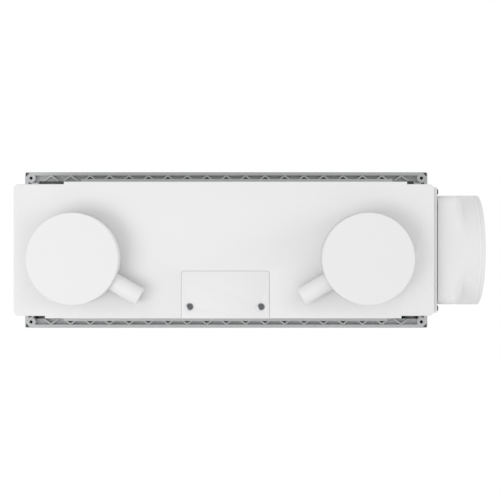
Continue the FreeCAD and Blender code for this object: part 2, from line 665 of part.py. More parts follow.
def rear_housing():
    body = new_body("rear_housing")
    ends = block(body, both("case_end"), ("0", "case_depth"), both("end_top"))
    rounded(body, ends, "case_corner", runs_along("y"))
    for side, shift, span in RAISED:
        z = ("0", "case_top") if side > 0 else ("-(case_top)", "0")
        base = block(body, (f"{shift} - {span} / 2", f"{shift} + {span} / 2"), ("0", "case_depth"), z)

    def rear_edges(a, b):
        return abs(a.y - measure("case_depth")) < 1e-4 and abs(b.y - measure("case_depth")) < 1e-4

    rounded(body, base, "case_edge", rear_edges)
    block(body, both("inside_end"), ("-1", "inside_rear"), both("inside_top"), cut=True)
    for x in ("outdoor_x", "exhaust_x"):
        rod(body, "Y", (x, "inside_rear - 1", "collar_height"), "collar_radius + collar_play",
            "case_wall + 2", cut=True)
    gap = "cover_width / 2 + cover_play"
    gap_x = (f"cover_centre - ({gap})", f"cover_centre + ({gap})")
    opening = block(body, gap_x, ("inside_rear - 1", "case_depth + 1"),
                    ("-case_top - 1", "cover_top + cover_play"), cut=True)

    def upper_corners(a, b):
        level = abs(a.z - measure("cover_top + cover_play")) < 1e-4 and abs(abs(a.x - measure("cover_centre")) - measure(gap)) < 1e-4
        return runs_along("y")(a, b) and level

    rounded(body, opening, "cover_corner + cover_play", upper_corners)
    block(body, gap_x, ("case_depth - cover_return - cover_play", "case_depth + 1"),
          ("-case_top - 1", "-inside_top"), cut=True)
    block(body, ("-case_end - 1", "-inside_end + 1"), PASSAGE, both("passage_height / 2"), cut=True)
    for side, shift, span in RAISED:
        for x, y in rail_screw_places(shift, span):
            start = "case_top - 3.4" if side > 0 else "-case_top - 1"
            rod(body, "Z", (x, y, start), "screw_hole", "4.4", cut=True)
    for y, z in side_screw_places():
        rod(body, "X", ("-case_end - 1", y, z), "screw_hole", "case_wall + 2", cut=True)


def duct_collar(label, x):
    body = new_body(label, x=x, z="collar_height")
    turned(body, [("collar_bore", "inside_rear - flange_sheet"), ("collar_flange", "inside_rear - flange_sheet"),
                  ("collar_flange", "inside_rear"), ("collar_radius", "inside_rear"),
                  ("collar_radius", "collar_end"), ("collar_bore", "collar_end")])
    nozzle_rod(body, 1 if "exhaust" in label else -1, "drain_radius", "drain_reach", cut=True)


def nozzle_rod(body, side, radius, length, cut=False, start="0"):
    """A cylinder sideways and down at the nozzle's fall, from start on its line. side is +1 or -1 along X."""
    kind = "PartDesign::SubtractiveCylinder" if cut else "PartDesign::AdditiveCylinder"
    cylinder = body.newObject(kind, "Nozzle")
    cylinder.Placement = Placement(Vector(), Rotation(Vector(0, side, 0), 120))
    cylinder.setExpression("Placement.Rotation.Angle", formula("90 + drain_fall"))
    cylinder.setExpression("Placement.Base.x", formula(f"({side}) * ({start}) * cos(drain_fall)"))
    cylinder.setExpression("Placement.Base.y", formula("case_depth + drain_offset"))
    cylinder.setExpression("Placement.Base.z", formula(f"-({start}) * sin(drain_fall)"))
    cylinder.setExpression("Radius", formula(radius))
    cylinder.setExpression("Height", formula(length))
    return cylinder


def drain_nozzle(label, x, side):
    body = new_body(label, x=x, z="collar_height")
    nozzle_rod(body, side, "drain_radius", "drain_reach")
    nozzle_rod(body, side, "drain_radius - drain_wall - drain_step", "drain_reach", cut=True)
    seat = "collar_radius + drain_stop"
    nozzle_rod(body, side, "drain_radius - drain_wall", f"drain_reach + 1 - ({seat})", cut=True, start=seat)
    rod(body, "Y", ("0", "case_depth - 5", "0"), "collar_bore", "collar_reach + 10", cut=True)


def blanking_cap(label, x):
    body = new_body(label, x=x, z="collar_height")
    under = "collar_end + cap_gap"
    top = "collar_end + cap_lid"
    skirt = "collar_bore - cap_gap"
    turned(body, [("0", under), (f"{skirt} - cap_wall", under), (f"{skirt} - cap_wall", "collar_end - cap_skirt"),
                  (skirt, "collar_end - cap_skirt"), (skirt, under), ("collar_radius", under),
                  ("collar_radius", f"{top} - 0.8"), ("collar_radius - 0.8", top), ("0", top)])


def terminal_cover():
    body = new_body("terminal_cover", x="cover_centre")
    half = "cover_width / 2"
    plate = block(body, both(half), ("case_depth - cover_sheet", "case_depth"), ("-(case_top)", "cover_top"))

    def upper_corners(a, b):
        return runs_along("y")(a, b) and a.z > measure("cover_top") - 1e-4

    rounded(body, plate, "cover_corner", upper_corners)
    block(body, both(half), ("case_depth - cover_return", "case_depth"), ("-(case_top)", "-case_top + cover_sheet"))
    for side in (1, -1):
        x = f"({side}) * screw_spacing / 2"
        rod(body, "Y", (x, "case_depth - cover_sheet - 1", "screw_height"), "screw_free", "cover_sheet + 2", cut=True)
    rod(body, "Z", ("0", "case_depth - cover_return / 2", "-case_top - 1"), "grommet_radius", "cover_sheet + 2", cut=True)


def terminal_cover_screws():
    body = new_body("terminal_cover_screws", x="cover_centre", pieces=2)
    for side in (1, -1):
        x = f"({side}) * screw_spacing / 2"
        rod(body, "Y", (x, "case_depth", "screw_height"), "screw_head", "cover_head")
        rod(body, "Y", (x, "case_depth - cover_shank", "screw_height"), "screw_shank", "cover_shank + 1")
        rod(body, "Y", (x, "case_depth + cover_head - 1.5", "screw_height"), "screw_head * 0.45", "3", cut=True)


def terminal_box():
    body = new_body("terminal_box", x="cover_centre")
    floor = "-fit_top"
    block(body, both("box_end"), ("box_front", "box_rear"), (floor, "box_top"))
    block(body, both("box_end - box_wall"), ("box_front + box_wall", "box_rear + 1"),
          (f"{floor} + box_wall", "box_top - box_wall"), cut=True)
    for side in (1, -1):
        x = f"({side}) * screw_spacing / 2"
        rod(body, "Y", (x, "box_front + 1", "screw_height"), "screw_head", "box_rear - box_front - 1")
        rod(body, "Y", (x, "box_front + 4", "screw_height"), "screw_hole", "box_rear", cut=True)
    rod(body, "Z", ("0", "case_depth - cover_return / 2", f"{floor} - 1"), "grommet_radius", "box_wall + 2", cut=True)


def terminal_block():
    body = new_body("terminal_block", x="cover_centre")
    rear = "box_front + box_wall + block_depth"
    z = ("block_place - block_height / 2", "block_place + block_height / 2")
    block(body, both("block_length / 2"), ("box_front + box_wall", rear), z)
    pitch = "block_length / block_ways"
    start = f"-(block_length - {pitch}) / 2"
    pocket = block(body, (f"{start} - block_pocket / 2", f"{start} + block_pocket / 2"), (f"{rear} - 4", f"{rear} + 1"),
                   ("block_place - block_height / 4", "block_place + block_height / 4"), cut=True)
    row_along(body, [pocket], f"block_length - {pitch}", round(measure("block_ways")))


def cable_grommet():
    body = new_body("cable_grommet", x="cover_centre", y="case_depth - cover_return / 2")
    height = "case_top - fit_top + box_wall"
    rod(body, "Z", ("0", "0", "-(case_top)"), "grommet_radius", height)
    rod(body, "Z", ("0", "0", "-case_top - 1"), "grommet_bore", f"{height} + 2", cut=True)


# ---- side connection ---------------------------------------------------------------------------------------


def side_screw_places():
    """Y and Z of the four side flange screws."""
    spots = corner_places("side_width / 2 - 6", "side_height / 2 - 6")
    return [(f"side_axis + {along}", up) for along, up in spots]


def side_plate(label, face, sheet):
    """The gasket or the flange: a plate with a square opening and four screw holes."""
    body = new_body(label)
    low, high = "side_axis - side_width / 2", "side_axis + side_width / 2"
    block(body, (face, f"{face} + {sheet}"), (low, high), both("side_height / 2"))
    block(body, (f"{face} - 1", f"{face} + {sheet} + 1"), PASSAGE, both("passage_height / 2"), cut=True)
    for y, z in side_screw_places():
        rod(body, "X", (f"{face} - 1", y, z), "screw_free", f"{sheet} + 2", cut=True)


def side_flange_screws():
    body = new_body("side_flange_screws", pieces=4)
    for y, z in side_screw_places():
        rod(body, "X", ("flange_face - flat_head", y, z), "screw_shank * 2", "flat_head")
        rod(body, "X", ("flange_face - 0.5", y, z), "screw_shank", "gasket_sheet + side_sheet + 3")


def side_adapter():
    """Square at the flange, round at the duct. The body's own X axis is the spigot's axis."""
    body = new_body("side_adapter", y="side_axis")
    neck_width, neck_height = "adapter_width - 14", "adapter_height - 14"
    neck = rounded_rectangle(body, "YZ_Plane", neck_width, neck_height, "adapter_corner", "adapter_face")
    pad(body, neck, "side_step")
    size = ("adapter_width", "adapter_height", "adapter_corner")
    square = rounded_rectangle(body, "YZ_Plane", *size, "square_end")
    pad(body, square, "adapter_straight")
    loft(body, rounded_rectangle(body, "YZ_Plane", *size, "square_end"),
         circle(body, "YZ_Plane", "spigot_radius", "cone_face"))
    rod(body, "X", ("spigot_face", "0", "0"), "spigot_radius", "spigot_length")
    groove = "spigot_face + seal_place - seal_width / 2"
    ring = circle(body, "YZ_Plane", "spigot_radius + 1", groove)
    ring.addGeometry(Part.Circle(Vector(), Vector(0, 0, 1), measure("spigot_radius - seal_depth")), False)
    ring.addConstraint(Sketcher.Constraint("Coincident", 1, 3, -1, 1))
    index = ring.addConstraint(Sketcher.Constraint("Radius", 1, measure("spigot_radius - seal_depth")))
    ring.setExpression(f"Constraints[{index}]", formula("spigot_radius - seal_depth"))
    pad(body, ring, "seal_width", reverse=True, cut=True)
    rod(body, "X", ("spigot_face - 1", "0", "0"), "spigot_radius - adapter_wall", "spigot_length + 1", cut=True)
    inner_corner = "adapter_corner - adapter_wall"
    inner = ("adapter_width - 2 * adapter_wall", "adapter_height - 2 * adapter_wall", inner_corner)
    loft(body, rounded_rectangle(body, "YZ_Plane", *inner, "square_end"),
         circle(body, "YZ_Plane", "spigot_radius - adapter_wall", "cone_face"), cut=True)
    hollow = rounded_rectangle(body, "YZ_Plane", *inner, "square_end")
    pad(body, hollow, "adapter_straight - adapter_wall", reverse=True, cut=True)
    mouth = rounded_rectangle(body, "YZ_Plane", f"{neck_width} - 2 * adapter_wall",
                              f"{neck_height} - 2 * adapter_wall", inner_corner, "adapter_face - adapter_wall")
    pad(body, mouth, "adapter_wall + side_step + 1", reverse=True, cut=True)


def spigot_seal():
    body = new_body("spigot_seal", y="side_axis")
    groove = "spigot_face + seal_place - seal_width / 2"
    rod(body, "X", (groove, "0", "0"), "spigot_radius - 0.2", "seal_width")
    rod(body, "X", (f"{groove} - 1", "0", "0"), "spigot_radius - seal_depth", "seal_width + 2", cut=True)


# ---- inside ------------------------------------------------------------------------------------------------


def exchanger_core():
    body = new_body("exchanger_core", x="core_centre")
    side, top, flat = "core_length / 2", "core_height / 2", "core_flat / 2"
    hexagon = [(side, "0"), (flat, top), (f"-({flat})", top), (f"-({side})", "0"),
               (f"-({flat})", f"-({top})"), (flat, f"-({top})")]
    pad(body, outline(body, "XZ_Plane", hexagon, "-(core_front)"), "core_depth", reverse=True)


def core_end_seals():
    """Strips that close the gap between the core's two sharp edges and the bulkheads."""
    body = new_body("core_end_seals", x="core_centre", pieces=2)
    tip = "core_length / 2 + core_gap"
    for side in (1, -1):
        x = (tip, "head_place") if side > 0 else ("-(head_place)", f"-({tip})")
        block(body, x, ("core_front", "core_rear"), both("4"))


def bulkhead(label, side, openings):
    """A wall across the housing, with openings given as spans along Y and Z."""
    body = new_body(label)
    x = outwards(side, "head_place", "head_place + head_sheet")
    block(body, x, ("inner_rear + inner_gap", "fit_rear"), both("fit_top"))
    for y, z in openings:
        block(body, outwards(side, "head_place - 1", "head_place + head_sheet + 1"), y, z, cut=True)


def divider(label, side):
    body = new_body(label)
    x = outwards(side, "filter_base + filter_sheet + inner_gap", end_of(side))
    block(body, x, ("divider_place", "divider_place + divider_sheet"), both("fit_top"))


def framed_filter(label, x, y, z, along):
    """A filter cassette: a frame, and its medium in a node of its own. Air goes through along X or Y."""
    frame = new_body(f"{label}_frame")
    medium = new_body(f"{label}_medium")
    block(frame, x, y, z)
    inner = {"x": x, "y": y, "z": z}
    through = dict(inner)
    for axis in inner:
        low, high = inner[axis]
        if axis == along:
            through[axis] = (f"{low} - 1", f"{high} + 1")
            inner[axis] = (f"{low} + 1.5", f"{high} - 1.5")
        else:
            through[axis] = inner[axis] = (f"{low} + filter_frame", f"{high} - filter_frame")
    block(frame, through["x"], through["y"], through["z"], cut=True)
    block(medium, inner["x"], inner["y"], inner["z"])


def inner_cover():
    body = new_body("inner_cover")
    y = ("inner_gap", "inner_rear")
    block(body, both("fit_end"), y, both("fit_top"))
    for side in (1, -1):
        x = outwards(side, "vent_place - vent_width / 2", "vent_place + vent_width / 2")
        block(body, x, ("inner_gap - 1", "inner_rear + 1"), ("vent_base", "vent_base + vent_height"), cut=True)
    for x, z in corner_places("fit_end - post_inset", "fit_top - post_inset"):
        rod(body, "Y", (x, "inner_gap - 1", z), "screw_free", "inner_sheet + 2", cut=True)


def inner_cover_posts():
    """Four posts in the corners of the housing, which the inner cover's screws are driven into."""
    body = new_body("inner_cover_posts", pieces=4)
    for x, z in corner_places("fit_end - post_inset", "fit_top - post_inset"):
        rod(body, "Y", (x, "inner_rear", z), "screw_head", "divider_place - inner_rear")
        rod(body, "Y", (x, "inner_rear - 1", z), "screw_hole", "20", cut=True)


def inner_cover_screws():
    body = new_body("inner_cover_screws", pieces=4)
    for x, z in corner_places("fit_end - post_inset", "fit_top - post_inset"):
        rod(body, "Y", (x, "inner_gap - small_head", z), "screw_shank * 2", "small_head")
        rod(body, "Y", (x, "inner_gap - 1", z), "screw_shank", "inner_sheet + 13")


def condensate_tray():
    body = new_body("condensate_tray", x="core_centre")
    floor = "-fit_top"
    x, y = both("head_place - core_gap"), ("inner_rear + inner_gap", "core_rear")
    block(body, x, y, (floor, f"{floor} + tray_height"))
    block(body, both("head_place - core_gap - tray_wall"),
          ("inner_rear + inner_gap + tray_wall", "core_rear - tray_wall"),
          (f"{floor} + tray_wall", f"{floor} + tray_height + 1"), cut=True)
    for side in (1, -1):
        x = ("core_flat / 4", "core_flat / 4 + 6") if side > 0 else ("-core_flat / 4 - 6", "-core_flat / 4")
        block(body, x, ("core_front", "core_rear - 8"), (f"{floor} + 1", "core_base - core_gap"))


def bypass_flap():
    body = new_body("bypass_flap", x="core_centre + flap_place", z="flap_height")
    rear = "flap_front + flap_width"
    block(body, both("flap_sheet / 2"), ("flap_front", rear), ("-(flap_length)", "0"))
    reach = "(bearing_sheet + 3)"
    rod(body, "Y", ("0", f"flap_front - {reach}", "0"), "shaft_radius", f"flap_width + 2 * {reach} + 5")


def bypass_bearings():
    body = new_body("bypass_bearings", x="core_centre + flap_place", z="flap_height", pieces=2)
    half = "bearing_size / 2"
    top = "fit_top - flap_height"
    for y in ("flap_front - bearing_sheet - 1", "flap_front + flap_width + 1"):
        block(body, both(half), (y, f"{y} + bearing_sheet"), (f"-({half})", top))
        rod(body, "Y", ("0", f"{y} - 1", "0"), "shaft_radius + hinge_play", "bearing_sheet + 2", cut=True)


def bypass_motor():
    body = new_body("bypass_motor", x="core_centre + flap_place", z="flap_height")
    front = "flap_front + flap_width + bearing_sheet + 2"
    block(body, both("flap_motor_width / 2"), (front, f"{front} + flap_motor_length"),
          ("-(flap_motor_drop)", "fit_top - flap_height"))
    rod(body, "Y", ("0", f"{front} - 1", "0"), "shaft_radius + hinge_play", "10", cut=True)


def rear_foam():
    body = new_body("rear_foam")
    x = both("head_place - 6")
    block(body, x, ("box_front", "fit_rear"), ("box_top + inner_gap", "flap_height - 24"))


def control_parts():
    """The control box with its board, in the front left compartment beside the outdoor-air filter."""
    box = new_body("control_box")
    near = "filter_base + filter_sheet + control_side"
    x = outwards(1, near, f"{near} + control_length")
    y, z = ("divider_place - control_depth", "divider_place"), both("control_length / 2")
    block(box, x, y, z)
    block(box, (f"{x[0]} + control_wall", f"{x[1]} - control_wall"), (f"{y[0]} - 1", f"{y[1]} - control_wall"),
          both("control_length / 2 - control_wall"), cut=True)
    board = new_body("control_board", pieces=4)
    face = "divider_place - 8"
    block(board, (f"{x[0]} + 5", f"{x[1]} - 5"), (face, f"{face} + board_sheet"), both("control_length / 2 - 5"))
    for low, high, base, top, height in (("12", "34", "-40", "-10", "20"), ("50", "90", "-34", "-14", "14"),
                                         ("16", "26", "12", "40", "12")):
        block(board, (f"{x[0]} + {low}", f"{x[0]} + {high}"), (f"{face} - {height}", face), (base, top))
    for z_post in ("-44", "40"):
        block(board, (f"{x[0]} + 30", f"{x[0]} + 40"), (face, "divider_place - control_wall"), (z_post, f"{z_post} + 4"))


def air_sensors():
    """Four temperature sensors, one in each air passage beside the core."""
    body = new_body("air_sensors", pieces=4)
    for side in (1, -1):
        for up in (1, -1):
            x = outwards(side, "head_place - sensor_length", "head_place")
            middle = f"({up}) * sensor_place"
            z = (f"{middle} - sensor_size / 2", f"{middle} + sensor_size / 2")
            block(body, x, ("divider_place - sensor_size / 2", "divider_place + sensor_size / 2"), z)


def fan(name, x):
    casing = new_body(f"{name}_fan_casing", x=x, z="collar_height")
    ring = "fan_bore + fan_wall"
    turned(casing, [("fan_bore", "fan_front"), (ring, "fan_front"), (ring, "fan_rear - 4"),
                    ("collar_flange", "fan_rear - 4"), ("collar_flange", "fan_rear"), ("fan_bore", "fan_rear")])
    seat = "fan_front + strut_sheet"
    arm = block(casing, ("hub_radius - 2", "fan_bore + 1"), ("fan_front", seat), both("4"))
    round_about(casing, [arm], 3)
    rod(casing, "Y", ("0", "fan_front", "0"), "hub_radius", "strut_sheet")
    rod(casing, "Y", ("0", "fan_front - 1", "0"), "shaft_radius + 0.4", "strut_sheet + 2", cut=True)

    motor = new_body(f"{name}_fan_motor", x=x, z="collar_height")
    rod(motor, "Y", ("0", "motor_front", "0"), "motor_radius", "motor_length")
    rod(motor, "Y", ("0", "motor_front + 5", "0"), "shaft_radius + hinge_play", "motor_length", cut=True)

    wheel = new_body(f"{name}_impeller", x=x, z="collar_height")
    turned(wheel, [("0", "motor_front + 6"), ("shaft_radius", "motor_front + 6"), ("shaft_radius", "hub_front"),
                   ("hub_radius", "hub_front"), ("hub_radius", "hub_front + hub_length - 8"),
                   ("hub_radius - 10", "hub_front + hub_length"), ("0", "hub_front + hub_length")])
    blade = wheel.newObject("PartDesign::AdditiveBox", "Blade")
    blade.Placement = Placement(Vector(), Rotation(Vector(1, 0, 0), 40))
    blade.setExpression("Length", formula("blade_tip - hub_radius + 3"))
    blade.setExpression("Width", formula("blade_chord"))
    blade.setExpression("Height", formula("blade_sheet"))
    blade.setExpression("Placement.Rotation.Angle", formula("90 - blade_pitch"))
    lean = "(90 - blade_pitch)"
    middle = "(hub_front + hub_length / 2 - 3)"
    half_chord, half_sheet = "blade_chord / 2", "blade_sheet / 2"
    blade.setExpression("Placement.Base.x", formula("hub_radius - 3"))
    blade.setExpression("Placement.Base.y",
                        formula(f"{middle} - {half_chord} * cos({lean}) + {half_sheet} * sin({lean})"))
    blade.setExpression("Placement.Base.z", formula(f"-{half_chord} * sin({lean}) - {half_sheet} * cos({lean})"))
    round_about(wheel, [blade], 7)

    gasket = new_body(f"{name}_fan_gasket", x=x, z="collar_height")
    rod(gasket, "Y", ("0", "fan_rear", "0"), "collar_flange", "fan_gasket")
    rod(gasket, "Y", ("0", "fan_rear - 1", "0"), "fan_bore", "fan_gasket + 2", cut=True)


mounting_frame()
case_rail("top_case_rail", *RAISED[0])
case_rail("bottom_case_rail", *RAISED[1])
case_rail_screws()
hinge_brackets()
hinge_pins()
front_panel()
mode_button()
button_board()
status_lens()
panel_catches()
rear_housing()
for air, place, inwards in (("outdoor", "outdoor_x", -1), ("exhaust", "exhaust_x", 1)):
    duct_collar(f"{air}_collar", place)
    drain_nozzle(f"{air}_drain_nozzle", place, inwards)
    blanking_cap(f"{air}_cap", place)
terminal_cover()
terminal_cover_screws()
terminal_box()
terminal_block()
cable_grommet()
side_plate("side_gasket", "gasket_face", "gasket_sheet")
side_plate("side_flange", "flange_face", "side_sheet")
side_flange_screws()
side_adapter()
spigot_seal()
exchanger_core()
core_end_seals()
REAR_OPENING = (("divider_place + divider_sheet + 4", "core_rear"), ("-duct_high", "-duct_low"))
FRONT_OPENING = (("core_front", "divider_place - 4"), ("duct_low", "duct_high"))
bulkhead("outdoor_bulkhead", 1, [REAR_OPENING])
bulkhead("exhaust_bulkhead", -1, [REAR_OPENING, FRONT_OPENING])
divider("control_divider", 1)
divider("passage_divider", -1)
framed_filter("outdoor_filter", outwards(1, "filter_base", "filter_base + filter_sheet"),
              ("inner_rear + inner_gap", "fit_rear - 4"), both("fit_top - 4"), "x")
framed_filter("room_filter", outwards(1, "vent_place - vent_width / 2 - 5", "vent_place + vent_width / 2 + 5"),
              ("inner_rear + inner_gap", "inner_rear + inner_gap + room_filter_sheet"),
              ("vent_base - 5", "vent_base + vent_height + 5"), "y")
inner_cover()
inner_cover_posts()
inner_cover_screws()
condensate_tray()
bypass_flap()
bypass_bearings()
bypass_motor()
rear_foam()
control_parts()
air_sensors()
fan("supply", "outdoor_x")
fan("exhaust", "exhaust_x")

doc.recompute()
for item in doc.Objects:
    if {"Invalid", "Error"} & set(item.State):
        raise RuntimeError(f"{item.Label} of {item.getParent()} is {item.State}")
for piece in PIECES:
    if piece.Shape.isNull() or not piece.Shape.isValid() or not piece.Shape.Solids:
        raise RuntimeError(f"{piece.Label} has no valid shape")
os.makedirs("parts", exist_ok=True)
for piece in PIECES:
    piece.Shape.exportStep(f"parts/{piece.Label}.step")
    print(piece.Label, len(piece.Shape.Solids), round(piece.Shape.Volume))
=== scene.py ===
import json
import math
import random

import bmesh
import bpy
from mathutils import Matrix, Vector


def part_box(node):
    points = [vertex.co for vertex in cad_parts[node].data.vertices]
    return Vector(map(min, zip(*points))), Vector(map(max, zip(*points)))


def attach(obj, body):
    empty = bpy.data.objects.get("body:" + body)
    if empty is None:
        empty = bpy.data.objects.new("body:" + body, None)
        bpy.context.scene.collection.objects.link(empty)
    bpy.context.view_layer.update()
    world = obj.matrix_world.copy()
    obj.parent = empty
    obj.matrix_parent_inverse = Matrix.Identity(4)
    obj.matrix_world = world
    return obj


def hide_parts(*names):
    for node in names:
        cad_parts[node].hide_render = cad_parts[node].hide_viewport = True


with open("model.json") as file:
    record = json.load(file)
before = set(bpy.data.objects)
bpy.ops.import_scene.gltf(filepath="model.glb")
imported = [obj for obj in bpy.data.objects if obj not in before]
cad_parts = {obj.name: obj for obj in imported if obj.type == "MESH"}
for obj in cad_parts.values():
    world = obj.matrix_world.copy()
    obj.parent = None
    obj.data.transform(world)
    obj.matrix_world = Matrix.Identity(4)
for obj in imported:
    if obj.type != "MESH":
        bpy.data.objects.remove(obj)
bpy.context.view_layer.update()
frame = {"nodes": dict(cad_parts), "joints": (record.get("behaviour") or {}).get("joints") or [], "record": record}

bl_info = {
    "name": "Heat recovery unit",
    "version": (1, 0, 0),
    "blender": (4, 5, 0),
    "location": "View3D > Sidebar > Heat recovery",
    "description": "Builds the finished pieces of a recessed heat recovery unit round its CAD frame",
    "category": "Add Mesh",
}

RECORD = frame["record"]
BODY_OF = {node: body for body, nodes in RECORD["behaviour"]["bodies"].items() for node in nodes}
SLOT_OF = {part["node"]: part["material_slot"] for part in RECORD["subparts"]}
JOINT_AT = {joint["name"]: joint.get("pos_m") for joint in frame["joints"]}
MM = 0.001
MERGE = 0.002 * MM
FLAT = math.radians(0.6)
SHARP = math.radians(40)
SMOOTH = math.radians(35)
FINISHES = {}
# Pan head of a small screw, its height, and every screw's shank, as radii and a height.
PAN_HEAD, PAN_RISE, SHANK = 4 * MM, 2.4 * MM, 2 * MM


# ---- small tools -------------------------------------------------------------------------------------------


def linear(code):
    """An sRGB hex colour as linear red, green, blue and alpha."""
    shares = [int(code[i:i + 2], 16) / 255 for i in (0, 2, 4)]
    return tuple(s / 12.92 if s <= 0.04045 else ((s + 0.055) / 1.055) ** 2.4 for s in shares) + (1.0,)


def add(tree, kind, settings=None, links=None):
    """Adds a node, sets its attributes or sockets, and links sockets from (node, output) pairs."""
    node = tree.nodes.new(kind)
    for key, value in (settings or {}).items():
        if isinstance(key, int) or key in node.inputs:
            node.inputs[key].default_value = value
        else:
            setattr(node, key, value)
    for key, (source, output) in (links or {}).items():
        tree.links.new(source.outputs[output], node.inputs[key])
    return node


def box_of(node):
    low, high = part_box(node)
    return Vector(low), Vector(high)


def shell(*nodes):
    """CAD nodes as one mesh of whole flat faces."""
    bm = bmesh.new()
    for node in nodes:
        bm.from_mesh(frame["nodes"][node].data)
    bmesh.ops.remove_doubles(bm, verts=bm.verts, dist=MERGE)
    bmesh.ops.dissolve_limit(bm, angle_limit=FLAT, verts=bm.verts, edges=bm.edges,
                             use_dissolve_boundaries=False)
    return bm


def soften(bm, radius, segments=2):
    """Rounds every sharp edge a little, as a moulding tool or a deburred sheet leaves it."""
    edges = [edge for edge in bm.edges if len(edge.link_faces) == 2 and edge.calc_face_angle(0) > SHARP]
    bmesh.ops.bevel(bm, geom=edges, offset=radius, offset_type="OFFSET", segments=segments, profile=0.5,
                    affect="EDGES", clamp_overlap=True, material=-1)
    return bm


def finish(bm, name, replaced=(), body=None, slot=None):
    """Makes a mesh a piece that rides on a body, takes a finish and may stand for CAD nodes."""
    replaced = (replaced,) if isinstance(replaced, str) else tuple(replaced)
    slot = slot or SLOT_OF[replaced[0]]
    for face in bm.faces:
        face.material_index = 0
    mesh = bpy.data.meshes.new(name)
    bm.to_mesh(mesh)
    bm.free()
    mesh.materials.clear()
    mesh.materials.append(FINISHES[slot])
    mesh.shade_smooth()
    mesh.set_sharp_from_angle(angle=SMOOTH)
    piece = bpy.data.objects.new(name, mesh)
    bpy.context.scene.collection.objects.link(piece)
    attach(piece, body or BODY_OF[replaced[0]])
    if replaced:
        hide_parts(*replaced)
    return piece


def softened(node, radius=0.5 * MM, segments=2):
    """A CAD node's own shape with its edges rounded."""
    return finish(soften(shell(node), radius, segments), f"{node}_shell", node)


def join(bm, part, turn=None):
    """Adds a finished part to a larger mesh, moved there by a matrix."""
    if turn is not None:
        bmesh.ops.transform(part, matrix=turn, verts=part.verts)
    mesh = bpy.data.meshes.new("part")
    part.to_mesh(mesh)
    part.free()
    bm.from_mesh(mesh)
    bpy.data.meshes.remove(mesh)


def spin_up(bm, profile, steps=64, turn=None):
    """Turns a profile of (radius, height) about Z into a closed solid, then puts it in place."""
    part = bmesh.new()
    points = [part.verts.new((radius, 0, height)) for radius, height in profile]
    pairs = zip(points, points[1:] + points[:1])
    edges = [part.edges.new(pair) for pair in pairs if not (pair[0].co.x < 1e-9 and pair[1].co.x < 1e-9)]
    bmesh.ops.spin(part, geom=points + edges, cent=(0, 0, 0), axis=(0, 0, 1), angle=math.tau, steps=steps,
                   use_merge=True)
    bmesh.ops.remove_doubles(part, verts=part.verts, dist=MERGE / 4)
    bmesh.ops.recalc_face_normals(part, faces=part.faces)
    join(bm, part, turn)


def along(direction, place):
    """A matrix that lays local Z along a direction, with its origin at a place."""
    turn = Vector((0, 0, 1)).rotation_difference(Vector(direction)).to_matrix().to_4x4()
    return Matrix.Translation(Vector(place)) @ turn


def turned(name, replaced, profile, steps, direction, place, body=None, slot=None):
    """A piece that is one turned solid, with its axis along a direction from a place."""
    bm = bmesh.new()
    spin_up(bm, profile, steps, along(direction, place))
    return finish(bm, name, replaced, body, slot)


def block(bm, low, high, radius=0.0, segments=2, turn=None):
    """A box between two corners with rounded edges, as part of a larger piece."""
    low, high = Vector(low), Vector(high)
    part = bmesh.new()
    bmesh.ops.create_cube(part, size=1.0)
    bmesh.ops.scale(part, vec=high - low, verts=part.verts)
    bmesh.ops.translate(part, vec=(low + high) / 2, verts=part.verts)
    if radius:
        bmesh.ops.bevel(part, geom=part.edges[:], offset=radius, offset_type="OFFSET", segments=segments,
                        profile=0.5, affect="EDGES", clamp_overlap=True, material=-1)
    join(bm, part, turn)


def screw(bm, place, direction, head, head_height, shank, length, lobes=6):
    """A pan head screw with a lobed recess. Place is the middle of the underside of the head."""
    recess = head * 0.5
    floor = head_height * 0.35
    profile = [(0, -length), (shank * 0.45, -length), (shank, -length * 0.85), (shank, 0), (head, 0),
               (head, head_height * 0.45), (head * 0.93, head_height * 0.75),
               (head * 0.78, head_height * 0.93), (head * 0.6, head_height), (recess, head_height),
               (recess * 0.94, floor), (0, floor)]
    part = bmesh.new()
    spin_up(part, profile, lobes * 8)
    for vert in part.verts:
        radius = math.hypot(vert.co.x, vert.co.y)
        if vert.co.z > floor * 0.98 and 1e-6 < radius < recess * 1.02:
            wave = 0.82 + 0.18 * math.cos(lobes * math.atan2(vert.co.y, vert.co.x))
            vert.co.x *= wave
            vert.co.y *= wave
    join(bm, part, along(direction, place))


def islands(bm):
    """The vertices of each separate solid in a mesh."""
    left = set(bm.verts)
    groups = []
    while left:
        group, reached = set(), [left.pop()]
        while reached:
            vert = reached.pop()
            group.add(vert)
            for edge in vert.link_edges:
                other = edge.other_vert(vert)
                if other in left:
                    left.remove(other)
                    reached.append(other)
        groups.append(group)
    return groups


def spans(node):
    """The lowest and highest corner of each separate solid of a CAD node, in a fixed order."""
    bm = shell(node)
    found = []
    for group in islands(bm):
        low = Vector([min(vert.co[i] for vert in group) for i in range(3)])
        high = Vector([max(vert.co[i] for vert in group) for i in range(3)])
        found.append((low, high))
    bm.free()
    return sorted(found, key=lambda pair: tuple(round(value, 5) for value in pair[0]))


# ---- settings ----------------------------------------------------------------------------------------------


def colour(name, code, note):
    """A colour property with a hex default."""
    return bpy.props.FloatVectorProperty(name=name, description=note, subtype="COLOR", size=4, min=0, max=1,
                                         default=linear(code))


def length(name, value, note):
    """A length property, given in millimetres."""
    return bpy.props.FloatProperty(name=name, description=note, default=value * MM, unit="LENGTH")


def power(name, value, note):
    """The power of a lamp, in watts."""
    return bpy.props.FloatProperty(name=name, description=note, default=value, unit="POWER")


